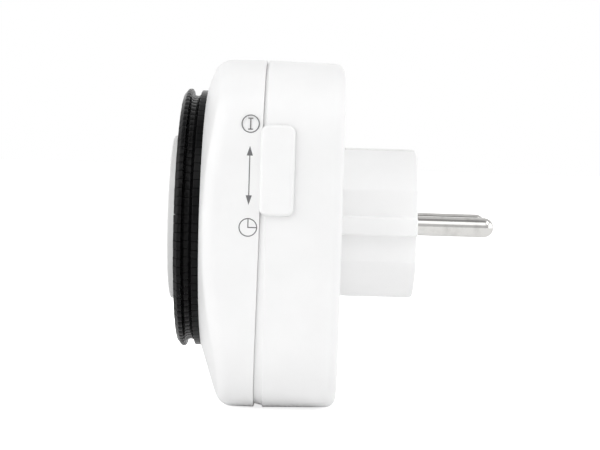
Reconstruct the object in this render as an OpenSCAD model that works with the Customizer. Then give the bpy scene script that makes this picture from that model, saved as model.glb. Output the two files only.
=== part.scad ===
// Plug in timer switch: a 24 hour segment dial around a safety socket, with a plug on the back.
// The dial faces -Y, the plug and its pins point to +Y, +Z is up and the slide switch is on +X.
// The origin is the centre of the plug's front face, midway between the two pins.

/* [Plug] */
// Diameter of each contact pin
pin_d = 4.8; // [4.4:0.1:5.2]
// Length of each pin in front of the plug's face
pin_len = 19; // [17:0.5:21]
// Distance between the two pins
pin_pitch = 19; // [18:0.5:20]
// Diameter of the plug body
plug_d = 37; // [36:0.25:38]
// Depth of the plug body, from the back of the housing to its face
plug_depth = 18.5; // [17:0.5:22]
// Distance across the two side flats of the plug body
plug_flats = 32.7; // [32:0.1:34]
// Width of the guide rib in the middle of each flat
plug_rib_w = 4.4; // [3.6:0.1:5]
// Thickness of the plug body's front wall
plug_face_t = 2.4; // [2:0.1:4]

/* [Housing] */
// Width of the cover's face between the dial and each side of the housing
side_margin = 4.3; // [3.8:0.1:7.8]
// Height of the cover's face between the dial and the top of the housing
top_margin = 6.4; // [5.8:0.1:11.8]
// Height of the cover's face between the dial and the bottom of the housing
bottom_margin = 11.6; // [10.8:0.1:17.8]
// Radius of the housing's four corners, seen from the front
corner_r = 18; // [14:0.5:19]
// Radius that rounds the front and back edges
edge_r = 2.5; // [1.5:0.1:3.5]
// Wall thickness of both shells
wall = 2.4; // [2.2:0.1:2.8]
// Depth of the rear housing at the height of the axis
back_depth = 17.7; // [17:0.1:21]
// Depth of the front cover, from its rear edge to the edge of the dial
cover_depth = 14.1; // [13.9:0.1:18]
// Width of the shadow gap between the shells, at the height of the axis
seam_gap = 1.2; // [0.8:0.1:1.6]
// Depth of the shadow gap
seam_depth = 1.25; // [1:0.05:1.4]
// Lean of the front cover's rear edge, in degrees. It widens the gap downwards, and so does the rear
// housing's edge with half this lean
seam_lean = 0.65; // [0:0.05:0.9]
// Slope of the front cover's conical face, in degrees
face_slope = 18.5; // [12:0.5:22]

/* [Dial] */
// Width of the dial, from the socket's collar to the lip of its rim
dial_ring_w = 11.7; // [11.3:0.05:12.2]
// Depth of the dial that stands in front of the cover
dial_depth = 5.9; // [5.2:0.1:7]
// How far the rim sits below the edge of the cover's face
dial_sunk = 0.2; // [0:0.1:0.6]
// Segments in each of the twelve banks
bank_segments = 8; // [4:1:8]
// Gap between neighbouring segments
segment_gap = 0.3; // [0.2:0.05:0.5]
// Travel of a segment
segment_travel = 1.9; // [1.5:0.1:2.1]
// Width of the lip at the front of the rim
lip_w = 1.9; // [1.6:0.05:2]
// Width of the round finger groove behind the lip
groove_w = 2.35; // [2:0.05:2.4]
// Depth of the finger groove
groove_depth = 1.7; // [1.5:0.1:1.9]

/* [Socket] */
// Diameter of the socket well
well_d = 38.6; // [38.2:0.1:38.8]
// Thickness of the collar around the well
collar_wall = 0.95; // [0.9:0.05:1.4]
// How far the collar stands in front of the dial
collar_proud = 2.4; // [1:0.1:4]
// Depth of the socket well
well_depth = 17.5; // [17.2:0.1:18.2]
// Thickness of the well's floor
floor_t = 2; // [1.6:0.1:2.2]
// Distance across the guide lugs in the well
lug_span = 33.8; // [33.2:0.1:34.6]
// Width of the notch in each guide lug
notch_w = 5; // [4.6:0.1:5.6]
// Turn of the safety shutter that opens both pin holes, in degrees
shutter_turn = 40; // [36:1:44]

/* [Slide switch] */
// Height of the switch cap
cap_h = 20.7; // [19:0.1:22]
// Width of the switch cap
cap_w = 7.8; // [7.4:0.1:8.4]
// How far the cap stands out from the housing's side
cap_proud = 1.5; // [1.3:0.1:2.8]
// How far the cap's top edge is below the top of the housing, in the upper position
cap_drop = 15.3; // [14.1:0.1:16.6]
// Travel of the switch from the upper to the lower position
cap_travel = 2.6; // [2:0.1:2.8]

/* [Gear train] */
// Teeth of the ring gear on the dial
dial_teeth = 72; // [70:1:74]
// Thickness of the ring gear between the hub and its teeth
gear_rim = 1.15; // [1:0.05:1.3]
// Teeth of the drive pinion and of the motor's pinion
pinion_teeth = 12; // [12:1:13]
// Teeth of the clutch wheel
wheel_teeth = 36; // [34:1:37]
// Module of the clutch wheel and the motor's pinion
wheel_module = 0.5; // [0.48:0.01:0.51]

/* [Clearances] */
// Radial clearance of a shaft in its hole
running = 0.05; // [0.03:0.01:0.08]
// Clearance between moving parts that don't bear on each other
loose = 0.3; // [0.25:0.05:0.35]
// Clearance between fixed parts that are assembled
assembly = 0.1; // [0.06:0.02:0.14]

/* [Hidden] */

// Colours
white_plastic = [0.95, 0.95, 0.94];
black_plastic = [0.06, 0.06, 0.065];
natural_plastic = [0.86, 0.85, 0.8];
chrome = [0.8, 0.8, 0.82];
brass = [0.8, 0.65, 0.35];
steel = [0.65, 0.66, 0.68];
copper = [0.72, 0.4, 0.25];

// Smoothness of round parts
round_fn = 128;
small_fn = 48;
hull_fn = 20;
eps = 0.01;
// Longer than any piece, for cuts that go right through
far = 100;

// Planes along Y, from the back to the front
y_back = -plug_depth;
y_inner_back = y_back - wall;
y_back_edge = y_back - back_depth;
y_cover_edge = y_back_edge - seam_gap;
y_face = y_cover_edge - cover_depth;
y_rim_back = y_face + dial_sunk;
y_rim_front = y_face - dial_depth;
y_collar = y_rim_front - collar_proud;
y_well = y_collar + well_depth;
y_well_back = y_well + floor_t;

// Dial and collar radii, from the inside out
well_r = well_d / 2;
collar_r = well_r + collar_wall;
dial_r = collar_r + dial_ring_w;
recess_r = dial_r + 0.25;

// Housing outline
half_w = recess_r + side_margin;
body_top = recess_r + top_margin;
body_bottom = recess_r + bottom_margin;
half_h = (body_top + body_bottom) / 2;
mid_z = (body_top - body_bottom) / 2;
slope = tan(face_slope);
recess_depth = dial_sunk + segment_travel + loose;
y_recess = y_face + recess_depth;
channel_floor_t = 1.4;
y_channel_back = y_recess + channel_floor_t;

// Spigot that closes the shadow gap
spigot_len = 3.6;
y_spigot = y_cover_edge + spigot_len;

// Dial
collar_chamfer = 0.5;
hub_wall = 2.2;
hub_bore_r = collar_r + running;
hub_r = hub_bore_r + hub_wall;
drum_t = 1.2;
rim_wall = 2.85;
foot_t = 1.3;
segment_outer_in_r = dial_r - rim_wall;
drum_r = segment_outer_in_r - loose;
foot_out_r = drum_r - drum_t - loose;
foot_in_r = foot_out_r - foot_t;
core_face_r = foot_in_r - loose;
bridge_t = 0.6;
y_drum = y_rim_front + bridge_t + segment_travel + loose;
foot_lap = 0.8;
y_foot = y_drum + foot_lap;
y_web = y_foot + segment_travel + loose;
web_t = 1;
lip_round = 1.15;
lip_edge = 0.25;
rim_r = dial_r - 0.3;
groove_mid_r = dial_r - groove_depth + groove_w / 2;
y_groove = y_rim_front + lip_w;
y_groove_back = y_groove + groove_w;

// Ring gear behind the cover's floor
tooth_root = 1.2;
tooth_tip = 0.85;
dial_module = (hub_r + gear_rim) / (dial_teeth / 2 - tooth_root);
gear_tip_r = (dial_teeth / 2 + tooth_tip) * dial_module;
gear_t = 2.2;
y_gear = y_channel_back + 0.7;
y_gear_back = y_gear + gear_t;
y_flange = y_gear_back + 0.4;
flange_t = 1.6;
y_flange_back = y_flange + flange_t;

// Drive train behind the well, below the contact sleeves
pressure_angle = 25;
drive_distance = (dial_teeth + pinion_teeth) * dial_module / 2;
drive_angle = -71;
drive_x = drive_distance * cos(drive_angle);
drive_z = drive_distance * sin(drive_angle);
motor_distance = (wheel_teeth + pinion_teeth) * wheel_module / 2;
motor_r = 10.8;
motor_z = motor_r + wall + 1.1 - body_bottom;
motor_x = drive_x - sqrt(pow(motor_distance, 2) - pow(motor_z - drive_z, 2));
motor_angle = atan2(motor_z - drive_z, motor_x - drive_x);
arbor_r = 0.8;
sleeve_r = 1.8;
y_wheel = y_well_back + 0.7;
wheel_t = 1.5;
washer_t = 0.4;
washer_w = 1.8;
y_sleeve_end = y_wheel + wheel_t + washer_t + 0.2;
y_plate = y_sleeve_end + 0.3;
plate_t = 1.2;
y_plate_back = y_plate + plate_t;
gearbox_t = 5.2;
y_motor = y_plate_back + gearbox_t;
motor_t = 7.8;
motor_wall = 0.8;
shaft_r = 0.75;
rotor_r = 4.8;
post_r = 2.2;
plate_half_w = 19;
plate_low = wall + 2.4 - body_bottom;
plate_high = -16.5;
plate_tab = 3;

// Screws
housing_post_r = 3;
corner_x = half_w - corner_r;
corner_z = half_h - corner_r;
post_offset = (corner_r - wall - housing_post_r - loose) / sqrt(2);
housing_posts = [for (sx = [-1, 1], sz = [-1, 1])
    [sx * (corner_x + post_offset), mid_z + sz * (corner_z + post_offset)]];
insert_post_r = 2.6;
insert_post_gap = 0.6;
insert_post_c = gear_tip_r + insert_post_gap + insert_post_r;
insert_posts = [for (sx = [-1, 1], sz = [-1, 1]) insert_post_c / sqrt(2) * [sx, sz]];
screw_r = 1;
screw_hole_r = 1.3;
screw_head_r = 2.3;
flange_r = insert_post_c + screw_head_r + 0.4;
screw_head_t = 1.5;
screw_bite = 3;
head_recess = 6;

// Plug
plug_r = plug_d / 2;
plug_hole_r = plug_r + assembly;
plug_flange_r = plug_r + 2;
plug_flange_t = 1.6;
plug_seat_r = plug_flange_r + assembly;
plug_wall = 2.4;
plug_chamfer = 0.6;
boss_wall = 1.4;

// Contacts
pin_r = pin_d / 2;
pin_x = pin_pitch / 2;
pin_seat_r = pin_r + 0.25;
pin_shoulder_r = pin_r + 0.6;
boss_r = pin_shoulder_r + boss_wall;
y_pin_tail = y_inner_back - 1.7;
sleeve_bore_r = pin_r + running;
sleeve_wall = 0.85;
pin_hole_r = pin_r + 0.4;
shutter_t = 1.2;
shutter_r = 12.2;
y_shutter = y_well_back + 0.2;
shutter_pin_r = 1.5;
y_shutter_back = y_shutter + shutter_t;
y_sleeve = y_shutter_back + loose;
sleeve_len = 12.8;
y_sleeve_back = y_sleeve + sleeve_len;
strap_t = 0.6;
strap_w = 4;
pad_half_w = 2.5;
pad_half_h = 4;
earth_w = 8;
earth_out_z = plug_r - 0.05;
earth_in_z = 13;
clip_z = well_r - 1.3;
earth_slot_half_w = earth_w / 2 + 0.2;

// Switching contact, on the side of the slide switch
lever_w = 3;
lever_gap = 1.45;
contact_x = gear_tip_r + lever_gap + lever_w / 2;
leaf_t = 0.4;
y_leaf = y_spigot - 3.4;
contact_pad_r = 1.5;
contact_pad_t = 0.7;
contact_gap = 0.9;
fixed_pad_t = 0.5;
y_fixed = y_leaf + leaf_t + contact_pad_t + contact_gap;

// Feeler lever
feeler_r = (segment_outer_in_r + rim_r) / 2;
lever_len = 18;
lever_pin_r = 1;
lever_y = y_leaf - 5.6;
lever_tip_z = sqrt(pow(feeler_r, 2) - pow(contact_x, 2));
lever_z = lever_tip_z - lever_len;
lever_nose_z = lever_z + 10;
nose_gap = 0.1;
root_z = lever_z - 5.5;
leaf_foot_z = root_z - 2.5;
ear_t = 1.1;
ear_r = 2.4;
flange_half_w = contact_x - lever_w / 2 - loose - ear_t - 0.6;
plate_post_x = flange_half_w - post_r - 0.3;
plate_post_z = -14;
low_post_angle = 235.2;
plate_posts = [
    [plate_post_x, plate_post_z], [-plate_post_x, plate_post_z],
    (flange_r - post_r - 0.7) * [cos(low_post_angle), sin(low_post_angle)]
];
window_w = lever_w + 2 * loose;
window_h = 4;

// Slide switch
cap_round = 1;
cap_corner = 1.8;
cap_top = body_top - cap_drop;
y_cap = y_cover_edge - 0.1;
cap_bottom = cap_top - cap_h;
stem_w = 2.8;
stem_h = 10;
stem_mid_z = (cap_top + cap_bottom) / 2;
y_stem = y_cap + cap_w / 2 - 0.1;
slot_bottom = stem_mid_z - stem_h / 2 - cap_travel - loose;
slot_top = stem_mid_z + stem_h / 2 + loose;
bar_t = 1.6;
bar_w = 5;
bar_h = 16;
bar_x = half_w - wall - loose;
bump_h = 1;
detent_x = bar_x - bar_t - bump_h - 0.4;
detent_t = 0.3;
detent_half_w = 1.5;
detent_foot_z = stem_mid_z - bar_h / 2 - cap_travel - loose;
bump_half_h = 1;
bump_z = stem_mid_z + 5;
contact_z = stem_mid_z + bar_h / 2 + strap_w / 2 + 0.55;

// ---- Helpers ----

// Round bar along Y
module rod(r, y0, y1, x = 0, z = 0, fn = round_fn) {
    translate([x, y0, z]) rotate([-90, 0, 0]) cylinder(r = r, h = y1 - y0, $fn = fn);
}

// Tube along Y
module tube(r_out, r_in, y0, y1, x = 0, z = 0, fn = round_fn) {
    difference() {
        rod(r_out, y0, y1, x, z, fn);
        rod(r_in, y0 - 1, y1 + 1, x, z, fn);
    }
}

// Solid of revolution about Y from an outline of [radius, y] points
module turned(points, angle = 360) {
    rotate([-90, 0, 0]) rotate_extrude(angle = angle, $fn = round_fn) polygon(points);
}

// Box from its two corners
module block(low, high) {
    translate(low) cube(high - low);
}

// A flat outline of [x, z] points, from y0 to y1
module plate(y0, y1) {
    translate([0, y1, 0]) rotate([90, 0, 0]) linear_extrude(height = y1 - y0) children();
}

// Prism with the housing's outline, made smaller by inset
module outline_prism(inset, y0, y1) {
    block([-corner_x, y0, mid_z - half_h + inset], [corner_x, y1, mid_z + half_h - inset]);
    block([-half_w + inset, y0, mid_z - corner_z], [half_w - inset, y1, mid_z + corner_z]);
    for (sx = [-1, 1], sz = [-1, 1])
        rod(corner_r - inset, y0, y1, sx * corner_x, mid_z + sz * corner_z);
}

// Points along the housing's outline, made smaller by inset, with some along each straight side
function outline_points(inset) = let (
    sides = [-0.6 : 0.3 : 0.6]
) concat(
    corner_points(corner_r - inset, 15),
    [for (s = [-1, 1], t = sides) [s * (half_w - inset), mid_z + t * corner_z]],
    [for (s = [-1, 1], t = sides) [t * corner_x, mid_z + s * (half_h - inset)]]
);

// Points along the four corners of the housing's outline, in one convex loop
function corner_points(r, step) = [
    for (c = [[1, 1, 0], [-1, 1, 90], [-1, -1, 180], [1, -1, 270]], a = [0 : step : 90])
        [c[0] * corner_x + r * cos(c[2] + a), mid_z + c[1] * corner_z + r * sin(c[2] + a)]
];

// Y of the conical face at a distance r from the axis
function face_y(r) = y_face + slope * (r - recess_r);

// Half space in front of the cover's leaning rear edge
module ahead_of_seam(y, lean) {
    translate([0, y, 0]) rotate([lean, 0, 0]) block([-far, -far, -far], [far, 0, far]);
}

// A cross-slotted screw along Y, with its head towards +Y
module screw(x, y_head, z, length) {
    difference() {
        union() {
            rod(screw_head_r, y_head, y_head + screw_head_t, x, z, small_fn);
            rod(screw_r, y_head - length, y_head + eps, x, z, small_fn);
        }
        for (a = [0, 90]) translate([x, y_head + screw_head_t, z]) rotate([0, a, 0])
            block([-1.6, -0.6, -0.25], [1.6, 1, 0.25]);
    }
}

// Involute tooth outline
function involute_angle(rb, r) = r <= rb ? 0 : sqrt(pow(r / rb, 2) - 1) * 180 / PI - acos(rb / r);
function gear_points(teeth, m, backlash) = let (
    rp = teeth * m / 2,
    rb = rp * cos(pressure_angle),
    root = rp - tooth_root * m,
    tip = rp + tooth_tip * m,
    flank = concat(root < rb ? [root, rb] : [root], [rp, tip]),
    half = 90 / teeth - backlash * 90 / (PI * rp) + involute_angle(rb, rp),
    pitch = 360 / teeth
) [for (i = [0 : teeth - 1]) each concat(
    [for (r = flank) [r, i * pitch - half + involute_angle(rb, r)]],
    [for (k = [len(flank) - 1 : -1 : 0]) [flank[k], i * pitch + half - involute_angle(rb, flank[k])]]
)];

// Spur gear along Y, with tooth number 0 at the given angle from +X towards +Z
module spur_gear(teeth, m, y0, y1, bore_r, angle, x = 0, z = 0) {
    backlash = 0.16 * m;
    points = [for (p = gear_points(teeth, m, backlash)) [p[0] * cos(p[1]), p[0] * sin(p[1])]];
    translate([x, 0, z]) difference() {
        plate(y0, y1) rotate(angle) polygon(points);
        rod(bore_r, y0 - 1, y1 + 1);
    }
}

// ---- Housing ----

module cover_outer() {
    hull() {
        rod(recess_r, y_face, y_face + eps, fn = 72);
        for (p = outline_points(edge_r)) {
            translate([p[0], face_y(norm(p)) + edge_r / cos(face_slope), p[1]])
                sphere(r = edge_r, $fn = hull_fn);
        }
        plate(y_cover_edge - 2, y_cover_edge + 2) polygon(corner_points(corner_r, 7.5));
    }
}

module cover_cavity() {
    intersection() {
        outline_prism(wall, y_face, y_spigot + 1);
        translate([0, y_channel_back, 0]) rotate([-90, 0, 0])
            cylinder(r1 = recess_r, r2 = recess_r + far / slope, h = far, $fn = round_fn);
    }
    rod(recess_r, y_channel_back, y_spigot + 1);
}

module front_cover() {
    color(white_plastic) difference() {
        union() {
            intersection() {
                difference() {
                    cover_outer();
                    cover_cavity();
                }
                ahead_of_seam(y_cover_edge, -seam_lean);
            }
            cover_spigot();
            intersection() {
                union() {
                    for (p = housing_posts) rod(housing_post_r, y_face, y_cover_edge, p[0], p[1], small_fn);
                }
                cover_outer();
            }
            for (p = insert_posts) rod(insert_post_r, y_channel_back - eps, y_flange, p[0], p[1], small_fn);
            lever_ears();
        }
        rod(recess_r, y_face - 5, y_recess);
        rod(hub_r + loose, y_face - 5, y_channel_back + 1);
        for (p = housing_posts) rod(screw_r, y_back_edge - 8, y_back_edge, p[0], p[1], small_fn);
        for (p = insert_posts) rod(screw_r, y_recess + 0.6, y_flange + 1, p[0], p[1], small_fn);
        block([contact_x - window_w / 2, y_recess - 1, lever_tip_z - window_h / 2],
            [contact_x + window_w / 2, y_channel_back + 1, lever_tip_z + window_h / 2]);
        rod_x(lever_pin_r, contact_x - 8, contact_x + 8, lever_y, lever_z);
    }
}

// Inner lip that reaches into the rear housing, cut away where the slide switch runs
module cover_spigot() {
    difference() {
        outline_prism(seam_depth, y_cover_edge - 4, y_spigot);
        outline_prism(wall, y_cover_edge - 5, y_spigot + 1);
        block([half_w - wall - 1, y_cover_edge + 0.4, slot_bottom], [half_w + 1, 0, slot_top]);
    }
}

// Round bar along X
module rod_x(r, x0, x1, y, z) {
    translate([x0, y, z]) rotate([0, 90, 0]) cylinder(r = r, h = x1 - x0, $fn = small_fn);
}

module lever_ears() {
    for (s = [-1, 1]) {
        x = contact_x + s * (lever_w / 2 + loose + ear_t / 2);
        block([x - ear_t / 2, y_channel_back - eps, lever_z - ear_r],
            [x + ear_t / 2, lever_y + ear_r, lever_z + ear_r]);
    }
}

// Rounded rectangle of size w by h, from z = 0 to t, whose edges at the top are rounded too
module soft_plate(w, h, corner, edge, t) {
    in_w = w / 2 - corner;
    in_h = h / 2 - corner;
    for (part = [[0, t - edge], [edge, t]]) {
        translate([-in_w, -h / 2 + part[0], 0]) cube([2 * in_w, h - 2 * part[0], part[1]]);
        translate([-w / 2 + part[0], -in_h, 0]) cube([w - 2 * part[0], 2 * in_h, part[1]]);
        for (sx = [-1, 1], sy = [-1, 1])
            translate([sx * in_w, sy * in_h, 0])
                cylinder(r = corner - part[0], h = part[1], $fn = round_fn);
    }
    for (s = [-1, 1]) {
        translate([-in_w, s * (h / 2 - edge), t - edge]) rotate([0, 90, 0])
            cylinder(r = edge, h = 2 * in_w, $fn = small_fn);
        translate([s * (w / 2 - edge), in_h, t - edge]) rotate([90, 0, 0])
            cylinder(r = edge, h = 2 * in_h, $fn = small_fn);
    }
    for (sx = [-1, 1], sy = [-1, 1]) {
        translate([sx * in_w, sy * in_h, t - edge]) rotate_extrude($fn = round_fn)
            translate([corner - edge, 0]) intersection() {
                circle(r = edge, $fn = small_fn);
                translate([0, -edge]) square([edge, 2 * edge]);
            }
    }
}

module back_outer() {
    y_start = y_back_edge - 4;
    translate([0, y_start, mid_z]) rotate([-90, 0, 0])
        soft_plate(2 * half_w, 2 * half_h, corner_r, edge_r, y_back - y_start);
}

module rear_housing() {
    color(white_plastic) difference() {
        union() {
            difference() {
                back_outer();
                outline_prism(wall, y_back_edge - 5, y_inner_back);
                outline_prism(seam_depth - assembly, y_back_edge - 5, y_spigot + 0.3);
            }
            for (p = housing_posts)
                rod(housing_post_r, y_cover_edge + assembly, y_back - 1, p[0], p[1], small_fn);
            tube(plug_seat_r + 1.6, plug_seat_r, y_inner_back - plug_flange_t, y_inner_back + 1);
        }
        difference() {
            ahead_of_seam(y_back_edge, seam_lean / 2);
            for (p = housing_posts) rod(housing_post_r, y_back_edge - 5, y_back, p[0], p[1], small_fn);
        }
        rod(plug_hole_r, y_inner_back - 5, y_back + 1);
        for (p = housing_posts) {
            rod(screw_hole_r, y_back_edge - 5, y_back + 1, p[0], p[1], small_fn);
            rod(screw_head_r + 0.4, y_back - head_recess, y_back + 1, p[0], p[1], small_fn);
        }
        block([half_w - wall - 1, y_stem - stem_w / 2 - loose, slot_bottom],
            [half_w + 1, y_stem + stem_w / 2 + loose, slot_top]);
    }
}

module housing_screws() {
    color(steel) for (p = housing_posts)
        screw(p[0], y_back - head_recess, p[1], back_depth - head_recess + seam_gap + screw_bite);
}

// ---- Plug ----

module plug_body() {
    color(white_plastic) difference() {
        union() {
            difference() {
                turned([[0, y_inner_back], [plug_r, y_inner_back], [plug_r, -plug_chamfer],
                    [plug_r - plug_chamfer, 0], [0, 0]]);
                for (s = [-1, 1]) plug_side_cut(s);
                rod(plug_flats / 2 - plug_wall, y_inner_back - 5, -plug_face_t);
            }
            tube(plug_flange_r, plug_flats / 2 - plug_wall, y_inner_back - plug_flange_t, y_inner_back);
            for (s = [-1, 1]) rod(boss_r, y_back, -eps, s * pin_x, 0, small_fn);
        }
        for (s = [-1, 1]) {
            rod(pin_seat_r, y_back - 1, 1, s * pin_x, 0, small_fn);
            rod(pin_shoulder_r, y_back - 1, -plug_face_t - 1, s * pin_x, 0, small_fn);
            mirror([0, 0, s < 0 ? 1 : 0]) earth_slot();
        }
    }
}

// One side flat of the plug body, with the guide rib left standing
module plug_side_cut(side) {
    for (up = [0, 1]) {
        mirror([side < 0 ? 1 : 0, 0, 0]) mirror([0, 0, up])
            block([plug_flats / 2, y_back, plug_rib_w / 2], [plug_r + 1, 1, plug_r]);
    }
}

module earth_slot() {
    w = earth_slot_half_w;
    block([-w, y_back + 1, earth_out_z - strap_t - 0.2], [w, 1, plug_r + 1]);
    block([-w, y_back + 1, earth_in_z - 1], [w, y_back + 2.2, plug_r + 1]);
    block([-w, y_inner_back - 5, earth_in_z - strap_t - 0.2], [w, y_back + 2, earth_in_z + 0.2]);
}

module pin(side) {
    color(chrome) translate([side * pin_x, 0, 0]) {
        rod(pin_seat_r, y_pin_tail, 0, fn = small_fn);
        rod(pin_r, 0, pin_len - pin_r, fn = small_fn);
        rod(pin_shoulder_r, y_back + 1, -plug_face_t - 1, fn = small_fn);
        intersection() {
            translate([0, pin_len - pin_r, 0]) sphere(r = pin_r, $fn = small_fn);
            rod(pin_r + 1, pin_len - pin_r - eps, pin_len + 1, fn = small_fn);
        }
    }
}

module line_pin() { pin(1); }
module neutral_pin() { pin(-1); }

// Bent strap that joins the plug's earth contact to the clip in the socket well
module earth_contact(up) {
    y_turn = y_back + 1.2;
    y_rise = y_shutter_back + 0.8;
    color(steel) mirror([0, 0, up > 0 ? 0 : 1]) difference() {
        translate([-earth_w / 2, 0, 0]) rotate([90, 0, 90]) linear_extrude(height = earth_w) polygon([
            [-0.8, earth_out_z - strap_t], [-0.4, earth_out_z - strap_t / 2], [-0.8, earth_out_z],
            [y_turn, earth_out_z],
            [y_turn, earth_in_z], [y_rise + strap_t, earth_in_z], [y_rise + strap_t, clip_z + strap_t],
            [y_collar + 3.4, clip_z + strap_t], [y_collar + 3, clip_z + 0.2], [y_collar + 6, clip_z - 0.9],
            [y_collar + 9, clip_z - 0.9], [y_collar + 12, clip_z], [y_rise, clip_z],
            [y_rise, earth_in_z - strap_t],
            [y_turn + strap_t, earth_in_z - strap_t], [y_turn + strap_t, earth_out_z - strap_t]
        ]);
        translate([-0.5, y_collar, 0]) cube([1, 12, well_r + 1]);
        tube(plug_r + 2, plug_r, y_turn - 1, 1);
    }
}

module earth_contact_top() { earth_contact(1); }
module earth_contact_bottom() { earth_contact(-1); }

// ---- Socket ----

module socket_insert() {
    color(white_plastic) difference() {
        union() {
            difference() {
                turned([[0, y_collar + 0.8], [well_r, y_collar + 0.8], [well_r, y_collar],
                    [collar_r - collar_chamfer, y_collar], [collar_r, y_collar + collar_chamfer],
                    [collar_r, y_well_back], [0, y_well_back]]);
                rod(well_r, y_collar - 1, y_well);
            }
            for (s = [-1, 1]) guide_lug(s);
            intersection() {
                tube(flange_r, collar_r - eps, y_flange, y_flange_back);
                block([-flange_half_w, y_flange - 1, -flange_r],
                    [flange_half_w, y_flange_back + 1, flange_r]);
            }
            for (p = plate_posts) rod(post_r, y_flange, y_plate, p[0], p[1], small_fn);
            rod(shutter_pin_r, y_well_back - eps, y_shutter_back + 2, fn = small_fn);
        }
        for (s = [-1, 1]) {
            rod(pin_hole_r, y_well - 1, y_well_back + 1, s * pin_x, 0, small_fn);
            mirror([0, 0, s < 0 ? 1 : 0])
                block([-earth_slot_half_w, y_well - 1, clip_z - 0.2],
                    [earth_slot_half_w, y_well_back + 1, clip_z + strap_t + 0.2]);
        }
        for (p = insert_posts) rod(screw_hole_r, y_flange - 1, y_flange_back + 1, p[0], p[1], small_fn);
        for (p = plate_posts) rod(screw_r, y_flange_back, y_plate + 1, p[0], p[1], small_fn);
        rod(sleeve_r + 0.5, y_flange - 1, y_flange_back + 1, drive_x, drive_z, small_fn);
    }
}

// Guide lug on one side of the well, with its notch
module guide_lug(side) {
    intersection() {
        rod(well_r + eps, y_collar + 1.5, y_well + eps);
        difference() {
            mirror([side < 0 ? 1 : 0, 0, 0])
                block([lug_span / 2, y_collar, -well_r], [well_r + 1, y_well + 1, well_r]);
            block([-well_r - 2, y_collar - 1, -notch_w / 2], [well_r + 2, y_well + 2, notch_w / 2]);
        }
    }
}

module insert_screws() {
    color(steel) for (p = insert_posts) screw(p[0], y_flange_back, p[1], flange_t + screw_bite - 0.2);
}

// Contact sleeve for one pin of a plug, with four slots so that it can spring
module contact_sleeve(side) {
    color(brass) difference() {
        tube(sleeve_bore_r + sleeve_wall, sleeve_bore_r, y_sleeve, y_sleeve_back,
            side * pin_x, 0, small_fn);
        for (a = [45, 135]) translate([side * pin_x, y_sleeve - 1, 0]) rotate([0, a, 0])
            translate([-0.25, 0, -6]) cube([0.5, sleeve_len * 0.55 + 1, 12]);
    }
}

module line_sleeve() { contact_sleeve(1); }
module neutral_sleeve() { contact_sleeve(-1); }

module neutral_busbar() {
    x0 = -pin_x - pad_half_w;
    x1 = -pin_x + pad_half_w;
    color(brass) {
        block([x0, y_sleeve_back, -pad_half_h], [x1, y_sleeve_back + strap_t, pad_half_h]);
        block([x0, y_sleeve_back, pad_half_h - strap_t], [x1, y_pin_tail, pad_half_h]);
        block([x0, y_pin_tail - strap_t, -pad_half_h], [x1, y_pin_tail, pad_half_h]);
    }
}

// Strap from the line pin to the fixed contact
module line_in_busbar() {
    x1 = contact_x + strap_w / 2;
    z1 = contact_z + strap_w / 2;
    y_fixed_bar = y_fixed + fixed_pad_t;
    color(brass) {
        block([pin_x - pad_half_w, y_pin_tail - strap_t, -strap_w / 2], [x1, y_pin_tail, strap_w / 2]);
        block([x1 - strap_w, y_pin_tail - strap_t, -strap_w / 2], [x1, y_pin_tail, z1]);
        block([x1 - strap_w, y_fixed_bar, z1 - strap_t], [x1, y_pin_tail, z1]);
        block([x1 - strap_w, y_fixed_bar, contact_z - strap_w / 2], [x1, y_fixed_bar + strap_t, z1]);
    }
}

// Strap from the contact leaf's foot to the line sleeve
module line_out_busbar() {
    x1 = contact_x + strap_w / 2;
    y1 = y_sleeve_back + strap_t;
    color(brass) {
        block([pin_x - pad_half_w, y_sleeve_back, -strap_w / 2], [x1, y1, strap_w / 2]);
        block([x1 - strap_w, y_sleeve_back, leaf_foot_z], [x1, y1, strap_w / 2]);
        block([x1 - strap_w, y_leaf + leaf_t, leaf_foot_z], [x1, y1, leaf_foot_z + strap_t]);
        block([x1 - strap_w, y_leaf + leaf_t, leaf_foot_z], [x1, y_leaf + leaf_t + strap_t, root_z]);
    }
}

// Safety shutter: a disc that turns to bring its two holes over the contact sleeves
module shutter() {
    color(white_plastic) difference() {
        rod(shutter_r, y_shutter, y_shutter_back);
        rod(shutter_pin_r + running, y_shutter - 1, y_shutter_back + 1, fn = small_fn);
        for (s = [0, 180]) rotate([0, shutter_turn + s, 0])
            rod(pin_hole_r, y_shutter - 1, y_shutter_back + 1, pin_x, 0, small_fn);
    }
}

// Spiral spring that turns the shutter back
module shutter_spring() {
    turns = 540;
    t = 0.35;
    function spiral(a, off) = (shutter_pin_r + t + off + 2 * a / turns) * [cos(a), sin(a)];
    inner_side = [for (a = [0 : 15 : turns]) spiral(a, 0)];
    outer_side = [for (a = [turns : -15 : 0]) spiral(a, t)];
    color(steel) plate(y_shutter_back + loose, y_shutter_back + loose + 0.8)
        polygon(concat(inner_side, outer_side));
}

// ---- Dial ----

module dial_core() {
    color(black_plastic) {
        turned([
            [hub_bore_r, y_rim_front], [core_face_r, y_rim_front], [core_face_r, y_web],
            [drum_r - drum_t, y_web],
            [drum_r - drum_t, y_drum], [drum_r, y_drum], [drum_r, y_web + web_t], [hub_r, y_web + web_t],
            [hub_r, y_gear_back], [hub_bore_r, y_gear_back]
        ]);
    }
}

module dial_gear() {
    color(natural_plastic) spur_gear(dial_teeth, dial_module, y_gear, y_gear_back, hub_r, drive_angle);
}

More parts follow.
